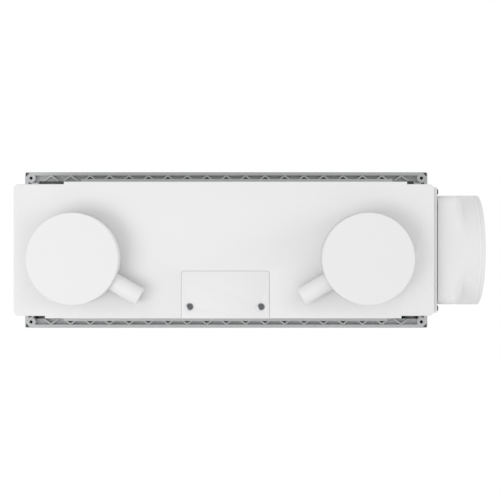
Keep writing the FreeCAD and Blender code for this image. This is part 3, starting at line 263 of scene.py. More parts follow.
class RecoveryColours(bpy.types.PropertyGroup):
    housing: colour("Housing", "D9D9D9", "White of the housing, caps and side adapter")
    panel: colour("Front panel", "E2E2E1", "White of the front panel")
    frame_grey: colour("Frame", "B2B3B4", "Grey of the mounting frame")
    rail: colour("Rails", "AEAFAF", "Powder coat of the rails")
    pale_grey: colour("Pale grey", "C4C7C9", "Boxes, bearings and filter frames")
    foam: colour("Foam", "2A2B2D", "Expanded foam of the inner walls")
    core: colour("Core", "D5DEE4", "Plates of the heat exchanger")
    board: colour("Circuit board", "14502E", "Solder mask of the circuit boards")
    terminal: colour("Terminal block", "3F7F57", "Plastic of the terminal block")


class RecoverySizes(bpy.types.PropertyGroup):
    edge: length("Moulded edge", 0.5, "Radius of a moulded edge")
    foam_edge: length("Foam edge", 1.6, "Radius of an edge of moulded foam")
    plate_pitch: length("Plate pitch", 3.0, "Spacing of the exchanger's plates")
    pleat_pitch: length("Pleat pitch", 5.0, "Spacing of a filter's pleats")
    hub: length("Hub", 24.0, "Radius of an impeller's hub")
    blade_tip: length("Blade tip", 56.8, "Radius of an impeller")
    blade_chord: length("Blade chord", 30.0, "Width of a blade at its tip")
    blades: bpy.props.IntProperty(name="Blades", description="Blades of an impeller", default=7, min=3,
                                  max=11)


class RecoveryStudio(bpy.types.PropertyGroup):
    camera: bpy.props.FloatVectorProperty(name="Camera", description="Place of the camera", size=3,
                                          subtype="TRANSLATION", unit="LENGTH", default=(-0.036, 1.971, 0.0))
    lens: bpy.props.FloatProperty(name="Lens", description="Focal length", default=93.6, unit="CAMERA")
    floor: bpy.props.FloatProperty(name="Floor", description="Height of the floor", default=-0.9,
                                   unit="LENGTH")
    ambient: bpy.props.FloatProperty(name="Ambient", description="Strength of the even light", default=0.93)
    key: power("Key", 23.0, "Power of the soft box")
    fill: power("Fill", 8.0, "Power of the light beside it")
    low: power("Low", 0.6, "Power of the light below it")


# ---- materials ---------------------------------------------------------------------------------------------


def plain(name, base, roughness, ior=1.5, metallic=0.0):
    """A material with its constant values on the shader, and the link that places its patterns."""
    material = bpy.data.materials.new(name)
    material.use_nodes = True
    tree = material.node_tree
    tree.nodes.clear()
    shader = add(tree, "ShaderNodeBsdfPrincipled",
                 {"Base Color": base, "Roughness": roughness, "IOR": ior, "Metallic": metallic})
    add(tree, "ShaderNodeOutputMaterial", links={"Surface": (shader, "BSDF")})
    return material, tree, shader, {"Vector": (add(tree, "ShaderNodeTexCoord"), "Object")}


def drive(tree, shader, pattern, tones=None, depth=0.0, strength=1.0, roughness=None):
    """Lets a pattern run the colour between two tones, stand out by a real depth, or vary the roughness."""
    if tones:
        tone = add(tree, "ShaderNodeMix", {"data_type": "RGBA", 6: tones[0], 7: tones[1]}, {0: pattern})
        tree.links.new(tone.outputs[2], shader.inputs["Base Color"])
    if depth:
        bump = add(tree, "ShaderNodeBump", {"Strength": strength, "Distance": depth}, {"Height": pattern})
        tree.links.new(bump.outputs["Normal"], shader.inputs["Normal"])
    if roughness:
        span = add(tree, "ShaderNodeMapRange", {"To Min": roughness[0], "To Max": roughness[1]},
                   {"Value": pattern})
        tree.links.new(span.outputs["Result"], shader.inputs["Roughness"])


def shade(base, share):
    """A colour made darker by a share, for the second tone of a mottle."""
    return tuple(value * share for value in base[:3]) + (1.0,)


def white_abs(colours):
    """White ABS from a spark-eroded tool: a fine even grain that kills sharp highlights."""
    base = tuple(colours.housing)
    material, tree, shader, place = plain("white_abs_matt_grain", base, 0.5, 1.53)
    # Grain 0.9 mm across and 0.02 mm deep.
    grain = add(tree, "ShaderNodeTexNoise", {"Scale": 1 / (0.9 * MM), "Detail": 2.0}, place)
    # Slow flow marks, 90 mm across, that only shift the tone by 1.5 hundredths.
    flow = add(tree, "ShaderNodeTexNoise", {"Scale": 1 / (90 * MM), "Detail": 3.0}, place)
    drive(tree, shader, (flow, "Fac"), tones=(base, shade(base, 0.985)))
    drive(tree, shader, (grain, "Fac"), depth=0.02 * MM, strength=0.5, roughness=(0.44, 0.58))
    return material


def satin_abs(colours):
    """Satin white ABS of the front panel: smoother than the housing, so soft lights show in it."""
    base = tuple(colours.panel)
    material, tree, shader, place = plain("white_abs_satin", base, 0.3, 1.53)
    peel = add(tree, "ShaderNodeTexNoise", {"Scale": 1 / (3.5 * MM), "Detail": 1.0}, place)
    drive(tree, shader, (peel, "Fac"), depth=0.02 * MM, strength=0.25, roughness=(0.26, 0.34))
    flow = add(tree, "ShaderNodeTexNoise", {"Scale": 1 / (120 * MM), "Detail": 2.0}, place)
    drive(tree, shader, (flow, "Fac"), tones=(base, shade(base, 0.99)))
    return material


def grey_abs(colours):
    """Grey ABS of the ribbed frame: coarser grain, slightly darker where the melt met."""
    base = tuple(colours.frame_grey)
    material, tree, shader, place = plain("grey_abs_frame", base, 0.55, 1.53)
    grain = add(tree, "ShaderNodeTexNoise", {"Scale": 1 / (1.2 * MM), "Detail": 2.0}, place)
    weld = add(tree, "ShaderNodeTexNoise", {"Scale": 1 / (40 * MM), "Detail": 4.0}, place)
    drive(tree, shader, (weld, "Fac"), tones=(base, shade(base, 0.93)))
    drive(tree, shader, (grain, "Fac"), depth=0.03 * MM, strength=0.6, roughness=(0.48, 0.62))
    return material


def pale_abs(colours):
    """Pale grey polypropylene of boxes and bearings: waxy, with a faint sheen."""
    base = tuple(colours.pale_grey)
    material, tree, shader, place = plain("pale_grey_polypropylene", base, 0.42, 1.49)
    grain = add(tree, "ShaderNodeTexNoise", {"Scale": 1 / (0.8 * MM), "Detail": 1.0}, place)
    drive(tree, shader, (grain, "Fac"), depth=0.015 * MM, strength=0.5)
    weld = add(tree, "ShaderNodeTexNoise", {"Scale": 1 / (25 * MM), "Detail": 3.0}, place)
    drive(tree, shader, (weld, "Fac"), tones=(base, shade(base, 0.95)))
    shader.inputs["Subsurface Weight"].default_value = 0.05
    shader.inputs["Subsurface Radius"].default_value = (MM, MM, MM)
    return material


def powder_coat(colours):
    """Powder-coated sheet steel: an orange-peel skin about 2 mm across over flat sheet."""
    base = tuple(colours.rail)
    material, tree, shader, place = plain("powder_coated_sheet", base, 0.4, 1.5)
    peel = add(tree, "ShaderNodeTexVoronoi",
               {"feature": "SMOOTH_F1", "Scale": 1 / (2 * MM), "Smoothness": 1.0}, place)
    drive(tree, shader, (peel, "Distance"), depth=0.03 * MM, strength=0.4)
    cloud = add(tree, "ShaderNodeTexNoise", {"Scale": 1 / (30 * MM), "Detail": 3.0}, place)
    drive(tree, shader, (cloud, "Fac"), tones=(base, shade(base, 0.96)), roughness=(0.36, 0.46))
    return material


def zinc_plate():
    """Zinc-plated steel: a bright grey metal with faint drawing lines and cloudy passivation."""
    base = linear("B9BBBD")
    material, tree, shader, place = plain("zinc_plated_steel", base, 0.32, metallic=1.0)
    stretch = add(tree, "ShaderNodeMapping", {"Scale": (1 / (8 * MM), 1 / (0.3 * MM), 1 / (0.3 * MM))},
                  place)
    lines = add(tree, "ShaderNodeTexNoise", {"Scale": 1.0, "Detail": 3.0}, {"Vector": (stretch, "Vector")})
    cloud = add(tree, "ShaderNodeTexNoise", {"Scale": 1 / (5 * MM), "Detail": 4.0}, place)
    drive(tree, shader, (cloud, "Fac"), tones=(base, linear("A2A39F")))
    drive(tree, shader, (lines, "Fac"), depth=0.01 * MM, strength=0.5, roughness=(0.24, 0.42))
    return material


def black_oxide():
    """Blackened steel of the screws: dark oiled metal, worn a little brighter in patches."""
    base = linear("55565A")
    material, tree, shader, place = plain("black_oxide_steel", base, 0.4, metallic=0.9)
    wear = add(tree, "ShaderNodeTexNoise", {"Scale": 1 / (1.5 * MM), "Detail": 4.0}, place)
    drive(tree, shader, (wear, "Fac"), tones=(base, linear("77787A")), depth=0.01 * MM, strength=0.4,
          roughness=(0.32, 0.5))
    return material


def nickel_plate():
    """Nickel-plated magnets: brighter and warmer than zinc, with tumbling dents."""
    base = linear("B5B1AA")
    material, tree, shader, place = plain("nickel_plated_magnet", base, 0.22, metallic=1.0)
    dents = add(tree, "ShaderNodeTexVoronoi", {"Scale": 1 / (1.4 * MM)}, place)
    drive(tree, shader, (dents, "Distance"), depth=0.01 * MM, strength=0.4)
    cloud = add(tree, "ShaderNodeTexNoise", {"Scale": 1 / (4 * MM), "Detail": 2.0}, place)
    drive(tree, shader, (cloud, "Fac"), roughness=(0.16, 0.3))
    return material


def black_nylon():
    """Glass-filled black nylon: dull, with short pale fibres just under the skin."""
    base = linear("1C1D1F")
    material, tree, shader, place = plain("black_glass_filled_nylon", base, 0.48, 1.53)
    # Fibre traces 2 mm by 0.4 mm, drawn coarser than real ones so that they show.
    stretch = add(tree, "ShaderNodeMapping", {"Scale": (1 / (0.4 * MM), 1 / (2 * MM), 1 / (0.4 * MM))},
                  place)
    fibres = add(tree, "ShaderNodeTexNoise", {"Scale": 1.0, "Detail": 2.0}, {"Vector": (stretch, "Vector")})
    drive(tree, shader, (fibres, "Fac"), tones=(base, linear("2E3033")), depth=0.02 * MM, strength=0.4,
          roughness=(0.38, 0.6))
    return material


def green_polyamide(colours):
    """Green polyamide of the terminal block: smooth, slightly translucent moulding."""
    base = tuple(colours.terminal)
    material, tree, shader, place = plain("green_polyamide", base, 0.38, 1.53)
    flow = add(tree, "ShaderNodeTexNoise", {"Scale": 1 / (6 * MM), "Detail": 2.0}, place)
    drive(tree, shader, (flow, "Fac"), tones=(base, shade(base, 0.85)), depth=0.01 * MM, strength=0.5)
    return material


def epdm_rubber():
    """Black EPDM rubber: matt, with a soft sheen at grazing angles and talc left on it."""
    base = linear("202022")
    material, tree, shader, place = plain("epdm_rubber", base, 0.72, 1.52)
    talc = add(tree, "ShaderNodeTexNoise", {"Scale": 1 / (7 * MM), "Detail": 5.0}, place)
    drive(tree, shader, (talc, "Fac"), tones=(base, linear("343437")))
    shader.inputs["Sheen Weight"].default_value = 0.2
    shader.inputs["Sheen Roughness"].default_value = 0.5
    pores = add(tree, "ShaderNodeTexNoise", {"Scale": 1 / (0.5 * MM), "Detail": 1.0}, place)
    drive(tree, shader, (pores, "Fac"), depth=0.03 * MM, strength=0.6)
    return material


def white_elastomer():
    """White thermoplastic rubber of the lip seal: matt, a little yellower than the housing."""
    base = linear("E3E3E1")
    material, tree, shader, place = plain("white_elastomer", base, 0.62, 1.5)
    skin = add(tree, "ShaderNodeTexNoise", {"Scale": 1 / (1.1 * MM), "Detail": 3.0}, place)
    drive(tree, shader, (skin, "Fac"), tones=(base, shade(base, 0.95)), depth=0.02 * MM, strength=0.6)
    shader.inputs["Sheen Weight"].default_value = 0.15
    return material


def vacuum_formed_core(colours):
    """Thin vacuum-formed polystyrene plates: pale blue-grey, glossy and a little see-through."""
    base = tuple(colours.core)
    material, tree, shader, place = plain("polystyrene_plates", base, 0.28, 1.59)
    # Embossed air channels, 3 mm apart along the plates.
    channels = add(tree, "ShaderNodeTexWave", {"wave_type": "BANDS", "bands_direction": "Z",
                                               "Scale": 1 / (3 * MM) / 20 * math.tau, "Distortion": 0.0},
                   place)
    drive(tree, shader, (channels, "Fac"), depth=0.2 * MM, strength=0.35)
    haze = add(tree, "ShaderNodeTexNoise", {"Scale": 1 / (15 * MM), "Detail": 3.0}, place)
    drive(tree, shader, (haze, "Fac"), tones=(base, shade(base, 0.9)))
    shader.inputs["Subsurface Weight"].default_value = 0.15
    shader.inputs["Subsurface Radius"].default_value = (2 * MM, 2 * MM, 2 * MM)
    return material


def bead_foam(colours):
    """Expanded polypropylene foam: black beads 4 mm across, fused with dark seams between."""
    base = tuple(colours.foam)
    material, tree, shader, place = plain("expanded_polypropylene_foam", base, 0.62, 1.49)
    beads = add(tree, "ShaderNodeTexVoronoi", {"feature": "DISTANCE_TO_EDGE", "Scale": 1 / (4 * MM)},
                place)
    seams = add(tree, "ShaderNodeMapRange", {"From Max": 0.12, "To Min": 1.0, "To Max": 0.0},
                {"Value": (beads, "Distance")})
    drive(tree, shader, (seams, "Result"), tones=(base, shade(base, 0.4)))
    swell = add(tree, "ShaderNodeMapRange", {"From Max": 0.35, "interpolation_type": "SMOOTHSTEP"},
                {"Value": (beads, "Distance")})
    drive(tree, shader, (swell, "Result"), depth=0.25 * MM, strength=0.8)
    return material


def filter_fleece():
    """Thermally bonded polyester fleece: off-white, fluffy, with fibres 3 mm long in all directions."""
    base = linear("E6E4DA")
    material, tree, shader, place = plain("polyester_fleece", base, 0.9, 1.5)
    fibres = add(tree, "ShaderNodeTexNoise", {"Scale": 1 / (0.7 * MM), "Detail": 6.0, "Distortion": 2.5},
                 place)
    drive(tree, shader, (fibres, "Fac"), tones=(base, linear("C9C6B9")), depth=0.2 * MM, strength=0.8)
    shader.inputs["Sheen Weight"].default_value = 0.4
    shader.inputs["Sheen Roughness"].default_value = 0.6
    return material


def solder_mask(colours):
    """Glass-epoxy circuit board: glossy green mask over raised tracks 1 mm wide."""
    base = tuple(colours.board)
    material, tree, shader, place = plain("circuit_board_mask", base, 0.25, 1.55)
    tracks = add(tree, "ShaderNodeTexVoronoi",
                 {"feature": "F1", "distance": "MANHATTAN", "Scale": 1 / (5 * MM)}, place)
    edges = add(tree, "ShaderNodeMath", {"operation": "PINGPONG", 1: 0.18}, {0: (tracks, "Distance")})
    lines = add(tree, "ShaderNodeMapRange", {"From Min": 0.06, "From Max": 0.1},
                {"Value": (edges, "Value")})
    drive(tree, shader, (lines, "Result"), tones=(base, linear("2A7A4A")), depth=0.04 * MM, strength=0.6)
    return material


def clear_acrylic():
    """Clear acrylic light guide: glassy, faintly green from the lamp behind it."""
    base = linear("DDF2E4")
    material, tree, shader, place = plain("clear_acrylic", base, 0.08, 1.49)
    shader.inputs["Transmission Weight"].default_value = 0.7
    ripple = add(tree, "ShaderNodeTexNoise", {"Scale": 1 / (1.5 * MM), "Detail": 1.0}, place)
    drive(tree, shader, (ripple, "Fac"), tones=(base, linear("C6E6D2")), depth=0.01 * MM, strength=0.3)
    return material


def brass():
    """Turned brass of the terminal screws, between yellow and dull brown where it has tarnished."""
    base = linear("C9A55A")
    material, tree, shader, place = plain("turned_brass", base, 0.3, metallic=1.0)
    tarnish = add(tree, "ShaderNodeTexNoise", {"Scale": 1 / (2 * MM), "Detail": 3.0}, place)
    drive(tree, shader, (tarnish, "Fac"), tones=(base, linear("A07F3E")), roughness=(0.22, 0.42))
    return material


def make_finishes(colours):
    """One material for each slot of the record, and brass for the terminals."""
    FINISHES.update({
        "white_housing": white_abs(colours),
        "white_panel": satin_abs(colours),
        "grey_frame": grey_abs(colours),
        "light_grey_plastic": pale_abs(colours),
        "coated_sheet": powder_coat(colours),
        "zinc_steel": zinc_plate(),
        "dark_screw": black_oxide(),
        "magnet": nickel_plate(),
        "black_plastic": black_nylon(),
        "green_terminal": green_polyamide(colours),
        "rubber_seal": epdm_rubber(),
        "white_seal": white_elastomer(),
        "core_plastic": vacuum_formed_core(colours),
        "foam": bead_foam(colours),
        "filter_fleece": filter_fleece(),
        "circuit_board": solder_mask(colours),
        "status_lens": clear_acrylic(),
        "brass": brass(),
    })


# ---- pieces ------------------------------------------------------------------------------------------------


class RecoveryOperator:
    """What all the building operators share."""

    bl_options = {"REGISTER", "UNDO"}

    @staticmethod
    def sizes():
        return bpy.context.scene.recovery_sizes


class HEATRECOVERY_OT_stage(RecoveryOperator, bpy.types.Operator):
    """Makes the finishes, the pale floor, the soft light and the camera"""

    bl_idname = "heat_recovery.stage"
    bl_label = "Stage"

    def execute(self, context):
        scene = context.scene
        studio = scene.recovery_studio
        make_finishes(scene.recovery_colours)
        scene.view_settings.view_transform = "Standard"

        world = bpy.data.worlds.new("studio")
        world.use_nodes = True
        scene.world = world
        tree = world.node_tree
        tree.nodes.clear()
        seen = add(tree, "ShaderNodeBackground", {"Color": (1, 1, 1, 1), "Strength": 1.0})
        light = add(tree, "ShaderNodeBackground", {"Color": (1, 1, 1, 1), "Strength": studio.ambient})
        path = add(tree, "ShaderNodeLightPath")
        mixed = add(tree, "ShaderNodeMixShader", links={0: (path, "Is Camera Ray"), 1: (light, "Background"),
                                                        2: (seen, "Background")})
        add(tree, "ShaderNodeOutputWorld", links={"Surface": (mixed, "Shader")})

        bm = bmesh.new()
        bmesh.ops.create_grid(bm, x_segments=1, y_segments=1, size=1.5,
                              matrix=Matrix.Translation((0, 0, studio.floor)))
        mesh = bpy.data.meshes.new("floor")
        bm.to_mesh(mesh)
        bm.free()
        pale, tree, shader, place = plain("pale_floor", linear("EFEFEF"), 0.8)
        cloud = add(tree, "ShaderNodeTexNoise", {"Scale": 2.0, "Detail": 2.0}, place)
        drive(tree, shader, (cloud, "Fac"), tones=(linear("F0F0F0"), linear("ECECEC")))
        mesh.materials.append(pale)
        floor = bpy.data.objects.new("floor", mesh)
        scene.collection.objects.link(floor)

        for name, place, size, watts in (("soft_box", (1.35, 2.1, -0.8), 1.5, studio.key),
                                         ("low_box", (0.0, 0.9, -0.84), 0.9, studio.low),
                                         ("fill_box", (-2.3, 0.8, 0.2), 1.2, studio.fill)):
            lamp = bpy.data.lights.new(name, "AREA")
            lamp.energy = watts
            lamp.size = size
            box = bpy.data.objects.new(name, lamp)
            turn = (Vector((0, 0.1, 0)) - Vector(place)).to_track_quat("-Z", "Y").to_matrix().to_4x4()
            box.matrix_world = Matrix.Translation(Vector(place)) @ turn
            scene.collection.objects.link(box)

        view = bpy.data.cameras.new("camera")
        view.lens = studio.lens
        view.sensor_width = 36
        camera = bpy.data.objects.new("camera", view)
        camera.location = studio.camera
        camera.rotation_euler = (math.radians(90), 0, math.radians(180))
        scene.collection.objects.link(camera)
        scene.camera = camera
        return {"FINISHED"}


class HEATRECOVERY_OT_housing(RecoveryOperator, bpy.types.Operator):
    """Makes the rear housing and the duct collars with their drain nozzles"""

    bl_idname = "heat_recovery.housing"
    bl_label = "Rear housing"

    def execute(self, context):
        edge = self.sizes().edge
        softened("rear_housing", edge)
        for air in ("outdoor", "exhaust"):
            softened(f"{air}_collar", edge)
            softened(f"{air}_drain_nozzle", edge * 1.2)
        return {"FINISHED"}


class HEATRECOVERY_OT_caps(RecoveryOperator, bpy.types.Operator):
    """Makes the two blanking caps, with ribs under their lids"""

    bl_idname = "heat_recovery.caps"
    bl_label = "Blanking caps"

    def execute(self, context):
        for air in ("outdoor", "exhaust"):
            low, high = box_of(f"{air}_cap")
            radius = (high.x - low.x) / 2
            depth = high.y - low.y
            inner = radius - 5.6 * MM
            rim = depth - 4.7 * MM
            centre = ((low.x + high.x) / 2, low.y, (low.z + high.z) / 2)
            profile = [(0, rim + 1.7 * MM), (inner - 0.6 * MM, rim + 1.7 * MM), (inner, rim + 1.1 * MM),
                       (inner, 0.4 * MM), (inner + 0.4 * MM, 0), (inner + 1.8 * MM, 0),
                       (inner + 2.2 * MM, 0.4 * MM), (inner + 2.2 * MM, rim), (radius - 0.3 * MM, rim),
                       (radius, rim + 0.3 * MM), (radius, depth - 1.1 * MM),
                       (radius - 0.3 * MM, depth - 0.45 * MM), (radius - 0.9 * MM, depth), (0, depth)]
            bm = bmesh.new()
            spin_up(bm, profile, 128, along((0, 1, 0), centre))
            for number in range(4):
                turn = Matrix.Translation(centre) @ Matrix.Rotation(math.pi / 4 * number, 4, "Y")
                block(bm, (-inner + 0.5 * MM, rim - 3 * MM, -0.8 * MM),
                      (inner - 0.5 * MM, rim + 2 * MM, 0.8 * MM), 0.3 * MM, 1, turn)
            finish(bm, f"{air}_cap_lid", f"{air}_cap")
        return {"FINISHED"}


class HEATRECOVERY_OT_terminals(RecoveryOperator, bpy.types.Operator):
    """Makes the terminal cover, its screws, and the box and terminal block behind it"""

    bl_idname = "heat_recovery.terminals"
    bl_label = "Terminal cover"

    def execute(self, context):
        edge = self.sizes().edge
        softened("terminal_cover", edge)
        softened("terminal_box", edge)
        ring = [(2.6 * MM, 0.02 * MM), (5.3 * MM, 0.02 * MM), (5.3 * MM, 0.35 * MM),
                (4.9 * MM, 0.6 * MM), (2.6 * MM, 0.6 * MM)]
        screws, washers = bmesh.new(), bmesh.new()
        for low, high in spans("terminal_cover_screws"):
            middle = (low + high) / 2
            head = (high.x - low.x) / 2
            place = (middle.x, high.y - 2.6 * MM, middle.z)
            screw(screws, place, (0, 1, 0), head * 0.86, PAN_RISE, SHANK, place[1] - low.y)
            spin_up(washers, ring, 48, along((0, 1, 0), place))
        finish(screws, "cover_screws", "terminal_cover_screws")
        finish(washers, "cover_screw_washers", (), "root", "zinc_steel")

        bm = soften(shell("terminal_block"), edge * 0.6)
        finish(bm, "terminal_block_shell", "terminal_block")
        low, high = box_of("terminal_block")
        ways = 6
        pitch = (high.x - low.x) / ways
        bm = bmesh.new()
        for way in range(ways):
            x = low.x + pitch * (way + 0.5)
            place = (x, high.y - 3.9 * MM, (low.z + high.z) / 2)
            screw(bm, place, (0, 1, 0), 2.6 * MM, 1.6 * MM, 1.2 * MM, 0.1 * MM, 4)
        finish(bm, "terminal_screws", (), "root", "brass")

        low, high = box_of("cable_grommet")
        centre = ((low.x + high.x) / 2, (low.y + high.y) / 2, low.z)
        rise = high.z - low.z
        radius = (high.x - low.x) / 2
        profile = [(5 * MM, 0.6 * MM), (5.6 * MM, 0), (radius - 0.8 * MM, 0), (radius, 0.8 * MM),
                   (radius, rise - 0.8 * MM), (radius - 0.8 * MM, rise), (6.4 * MM, rise),
                   (6.4 * MM, rise * 0.45), (5 * MM, rise * 0.3)]
        turned("grommet", "cable_grommet", profile, 48, (0, 0, 1), centre)
        return {"FINISHED"}


class HEATRECOVERY_OT_side(RecoveryOperator, bpy.types.Operator):
    """Makes the side gasket, flange, adapter, lip seal and screws"""

    bl_idname = "heat_recovery.side"
    bl_label = "Side connection"

    def execute(self, context):
        edge = self.sizes().edge
        softened("side_gasket", edge)
        softened("side_flange", edge)
        # The square part is a little flatter than its CAD solid, easing back to the round spigot.
        bm = soften(shell("side_adapter"), edge * 1.4, 2)
        high = box_of("side_adapter")[1]
        neck, straight, change, squeeze = 1.5 * MM, 24 * MM, 15 * MM, 0.056
        square_end = high.x - neck - straight
        round_start = square_end - change
        for vert in bm.verts:
            share = min(1.0, max(0.0, (vert.co.x - round_start) / (square_end - round_start)))
            vert.co.z *= 1 - squeeze * share
        finish(bm, "side_adapter_shell", "side_adapter")
        bm = bmesh.new()
        for low, high in spans("side_flange_screws"):
            middle = (low + high) / 2
            head = (high.y - low.y) / 2
            base = low.x + 1.4 * MM
            screw(bm, (base, middle.y, middle.z), (-1, 0, 0), head, PAN_RISE, SHANK, high.x - base)
        finish(bm, "flange_screws", "side_flange_screws")

        low, high = box_of("spigot_seal")
        centre = (low.x, (low.y + high.y) / 2, (low.z + high.z) / 2)
        radius = (high.z - low.z) / 2
        width = high.x - low.x
        foot = radius - 0.9 * MM
        profile = [(foot, 0.1 * MM), (radius, 0.1 * MM), (radius + 0.25 * MM, 0.5 * MM),
                   (radius - 0.1 * MM, width * 0.5), (radius + 0.25 * MM, width - 0.7 * MM),
                   (radius - 0.1 * MM, width - 0.1 * MM), (foot, width - 0.1 * MM)]
        turned("lip_seal", "spigot_seal", profile, 128, (1, 0, 0), centre)
        return {"FINISHED"}


class HEATRECOVERY_OT_frame(RecoveryOperator, bpy.types.Operator):
    """Makes the ribbed mounting frame, its rails, hinges and catches"""

    bl_idname = "heat_recovery.frame"
    bl_label = "Mounting frame"

    def execute(self, context):
        edge = self.sizes().edge
        softened("mounting_frame", edge * 0.7)
        softened("top_case_rail", edge * 0.8)
        softened("bottom_case_rail", edge * 0.8)
        softened("hinge_brackets", edge * 0.6)
        softened("hinge_pins", edge * 0.8, 3)
        softened("catch_magnets", edge * 0.8, 3)
        bm = bmesh.new()
        for low, high in spans("case_rail_screws"):
            middle = (low + high) / 2
            up = 1 if middle.z > 0 else -1
            base = high.z - PAN_RISE if up > 0 else low.z + PAN_RISE
            length_in = base - low.z if up > 0 else high.z - base
            screw(bm, (middle.x, middle.y, base), (0, 0, up), PAN_HEAD, PAN_RISE, SHANK, length_in)
        finish(bm, "rail_screws", "case_rail_screws")
        return {"FINISHED"}


class HEATRECOVERY_OT_panel(RecoveryOperator, bpy.types.Operator):
    """Makes the front panel with its button, light and catch plates"""

    bl_idname = "heat_recovery.panel"
    bl_label = "Front panel"

    def execute(self, context):
        edge = self.sizes().edge
        softened("front_panel", edge * 0.7)
        softened("catch_plates", edge * 0.6)
        low, high = box_of("front_panel")
        frame_low, frame_high = box_of("mounting_frame")
        # Thin black strips on the back of the panel, seen only past the frame's rounded corners: painted shade
        # that darkens those corners.
        top = frame_high.z - 0.3 * MM
        side = frame_high.x - 0.3 * MM
        base = frame_low.z + 3.5 * MM
        shade_span = (high.y, high.y + 0.2 * MM)
        bm = bmesh.new()
        for start, end in (((-side, base), (-side + 16 * MM, top)), ((side - 16 * MM, base), (side, top)),
                           ((-side, top - 12 * MM), (side, top))):
            block(bm, (start[0], shade_span[0], start[1]), (end[0], shade_span[1], end[1]))
        finish(bm, "panel_back_shade_strips", (), BODY_OF["front_panel"], "rubber_seal")

        low, high = box_of("mode_button")
        centre = ((low.x + high.x) / 2, low.y, (low.z + high.z) / 2)
        face, collar, depth = 5 * MM, (high.x - low.x) / 2, high.y - low.y
        profile = [(0, 0.5 * MM), (2.5 * MM, 0.38 * MM), (face - 1.1 * MM, 0.08 * MM), (face - 0.6 * MM, 0),
                   (face - 0.15 * MM, 0.15 * MM), (face, 0.5 * MM), (face, depth - 1.6 * MM),
                   (collar, depth - 1.6 * MM), (collar, depth - 0.6 * MM), (2 * MM, depth - 0.6 * MM),
                   (2 * MM, depth), (0, depth)]
        turned("button", "mode_button", profile, 64, (0, 1, 0), centre)

        low, high = box_of("status_lens")
        centre = ((low.x + high.x) / 2, low.y, (low.z + high.z) / 2)
        profile = [(0, 0.02 * MM), (1.2 * MM, 0.1 * MM), (1.8 * MM, 0.35 * MM), (2 * MM, 0.8 * MM),
                   (2 * MM, 3 * MM), (3 * MM, 3 * MM), (3 * MM, 4.8 * MM), (2.7 * MM, 5 * MM), (0, 5 * MM)]
        turned("light_guide", "status_lens", profile, 40, (0, 1, 0), centre)

        softened("button_board", edge * 0.4)
        low, high = box_of("button_board")
        bm = bmesh.new()
        middle = (low.z + high.z) / 2
        # Place along the board as a share, then width, height and thickness of each chip in millimetres.
        chips = ((0.12, 6, 6, 2.2), (0.55, 7, 5, 1.4), (0.72, 3, 2, 1.0), (0.72, 3, 2, 1.0))
        for x, wide, tall, thick in chips:
            place = low.x + (high.x - low.x) * x
            shift = 5 * MM if thick == 1.0 else 0
            block(bm, (place, high.y, middle - tall * MM / 2 + shift),
                  (place + wide * MM, high.y + thick * MM, middle + tall * MM / 2 + shift), 0.25 * MM, 1)
        finish(bm, "button_board_chips", (), BODY_OF["button_board"], "black_plastic")
        return {"FINISHED"}


class HEATRECOVERY_OT_exchanger(RecoveryOperator, bpy.types.Operator):
    """Makes the plate stack of the heat exchanger, its seals and the condensate tray"""

    bl_idname = "heat_recovery.exchanger"
    bl_label = "Heat exchanger"

    def execute(self, context):
        sizes = self.sizes()
        low, high = box_of("exchanger_core")
        source = shell("exchanger_core")
        front = min(source.faces, key=lambda face: face.calc_center_median().y)
        corners = [vert.co.copy() for vert in front.verts]
        source.free()
        centre = sum(corners, Vector()) / len(corners)
        bm = bmesh.new()
        count = int((high.y - low.y) / sizes.plate_pitch)
        pitch = (high.y - low.y) / count
        outline = [(corner - centre) for corner in corners]

        def slab(start, thickness, share):
            made = [bm.verts.new((centre.x + v.x * share, start, centre.z + v.z * share)) for v in outline]
            face = bm.faces.new(made)
            raised = bmesh.ops.extrude_face_region(bm, geom=[face])["geom"]
            tops = [item for item in raised if isinstance(item, bmesh.types.BMVert)]
            bmesh.ops.translate(bm, vec=(0, thickness, 0), verts=tops)

        for number in range(count):
            slab(low.y + pitch * number, pitch * 0.45, 1.0 if number % 2 else 0.996)
            slab(low.y + pitch * (number + 0.45), pitch * 0.55, 0.975)
        bmesh.ops.recalc_face_normals(bm, faces=bm.faces)
        finish(bm, "plate_stack", "exchanger_core")

        bm = bmesh.new()
        for corner in outline:
            if abs(corner.z) < 1 * MM:
                continue
            x = centre.x + corner.x * 0.96
            z = centre.z + corner.z * 0.985
            block(bm, (x - 4 * MM, low.y + 0.2 * MM, z - 1.1 * MM),
                  (x + 4 * MM, high.y - 0.2 * MM, z + 1.1 * MM), 0.4 * MM)
        finish(bm, "plate_stack_corner_strips", (), "root", "light_grey_plastic")
        softened("core_end_seals", 1.2 * MM, 3)
        softened("condensate_tray", sizes.edge)
        return {"FINISHED"}


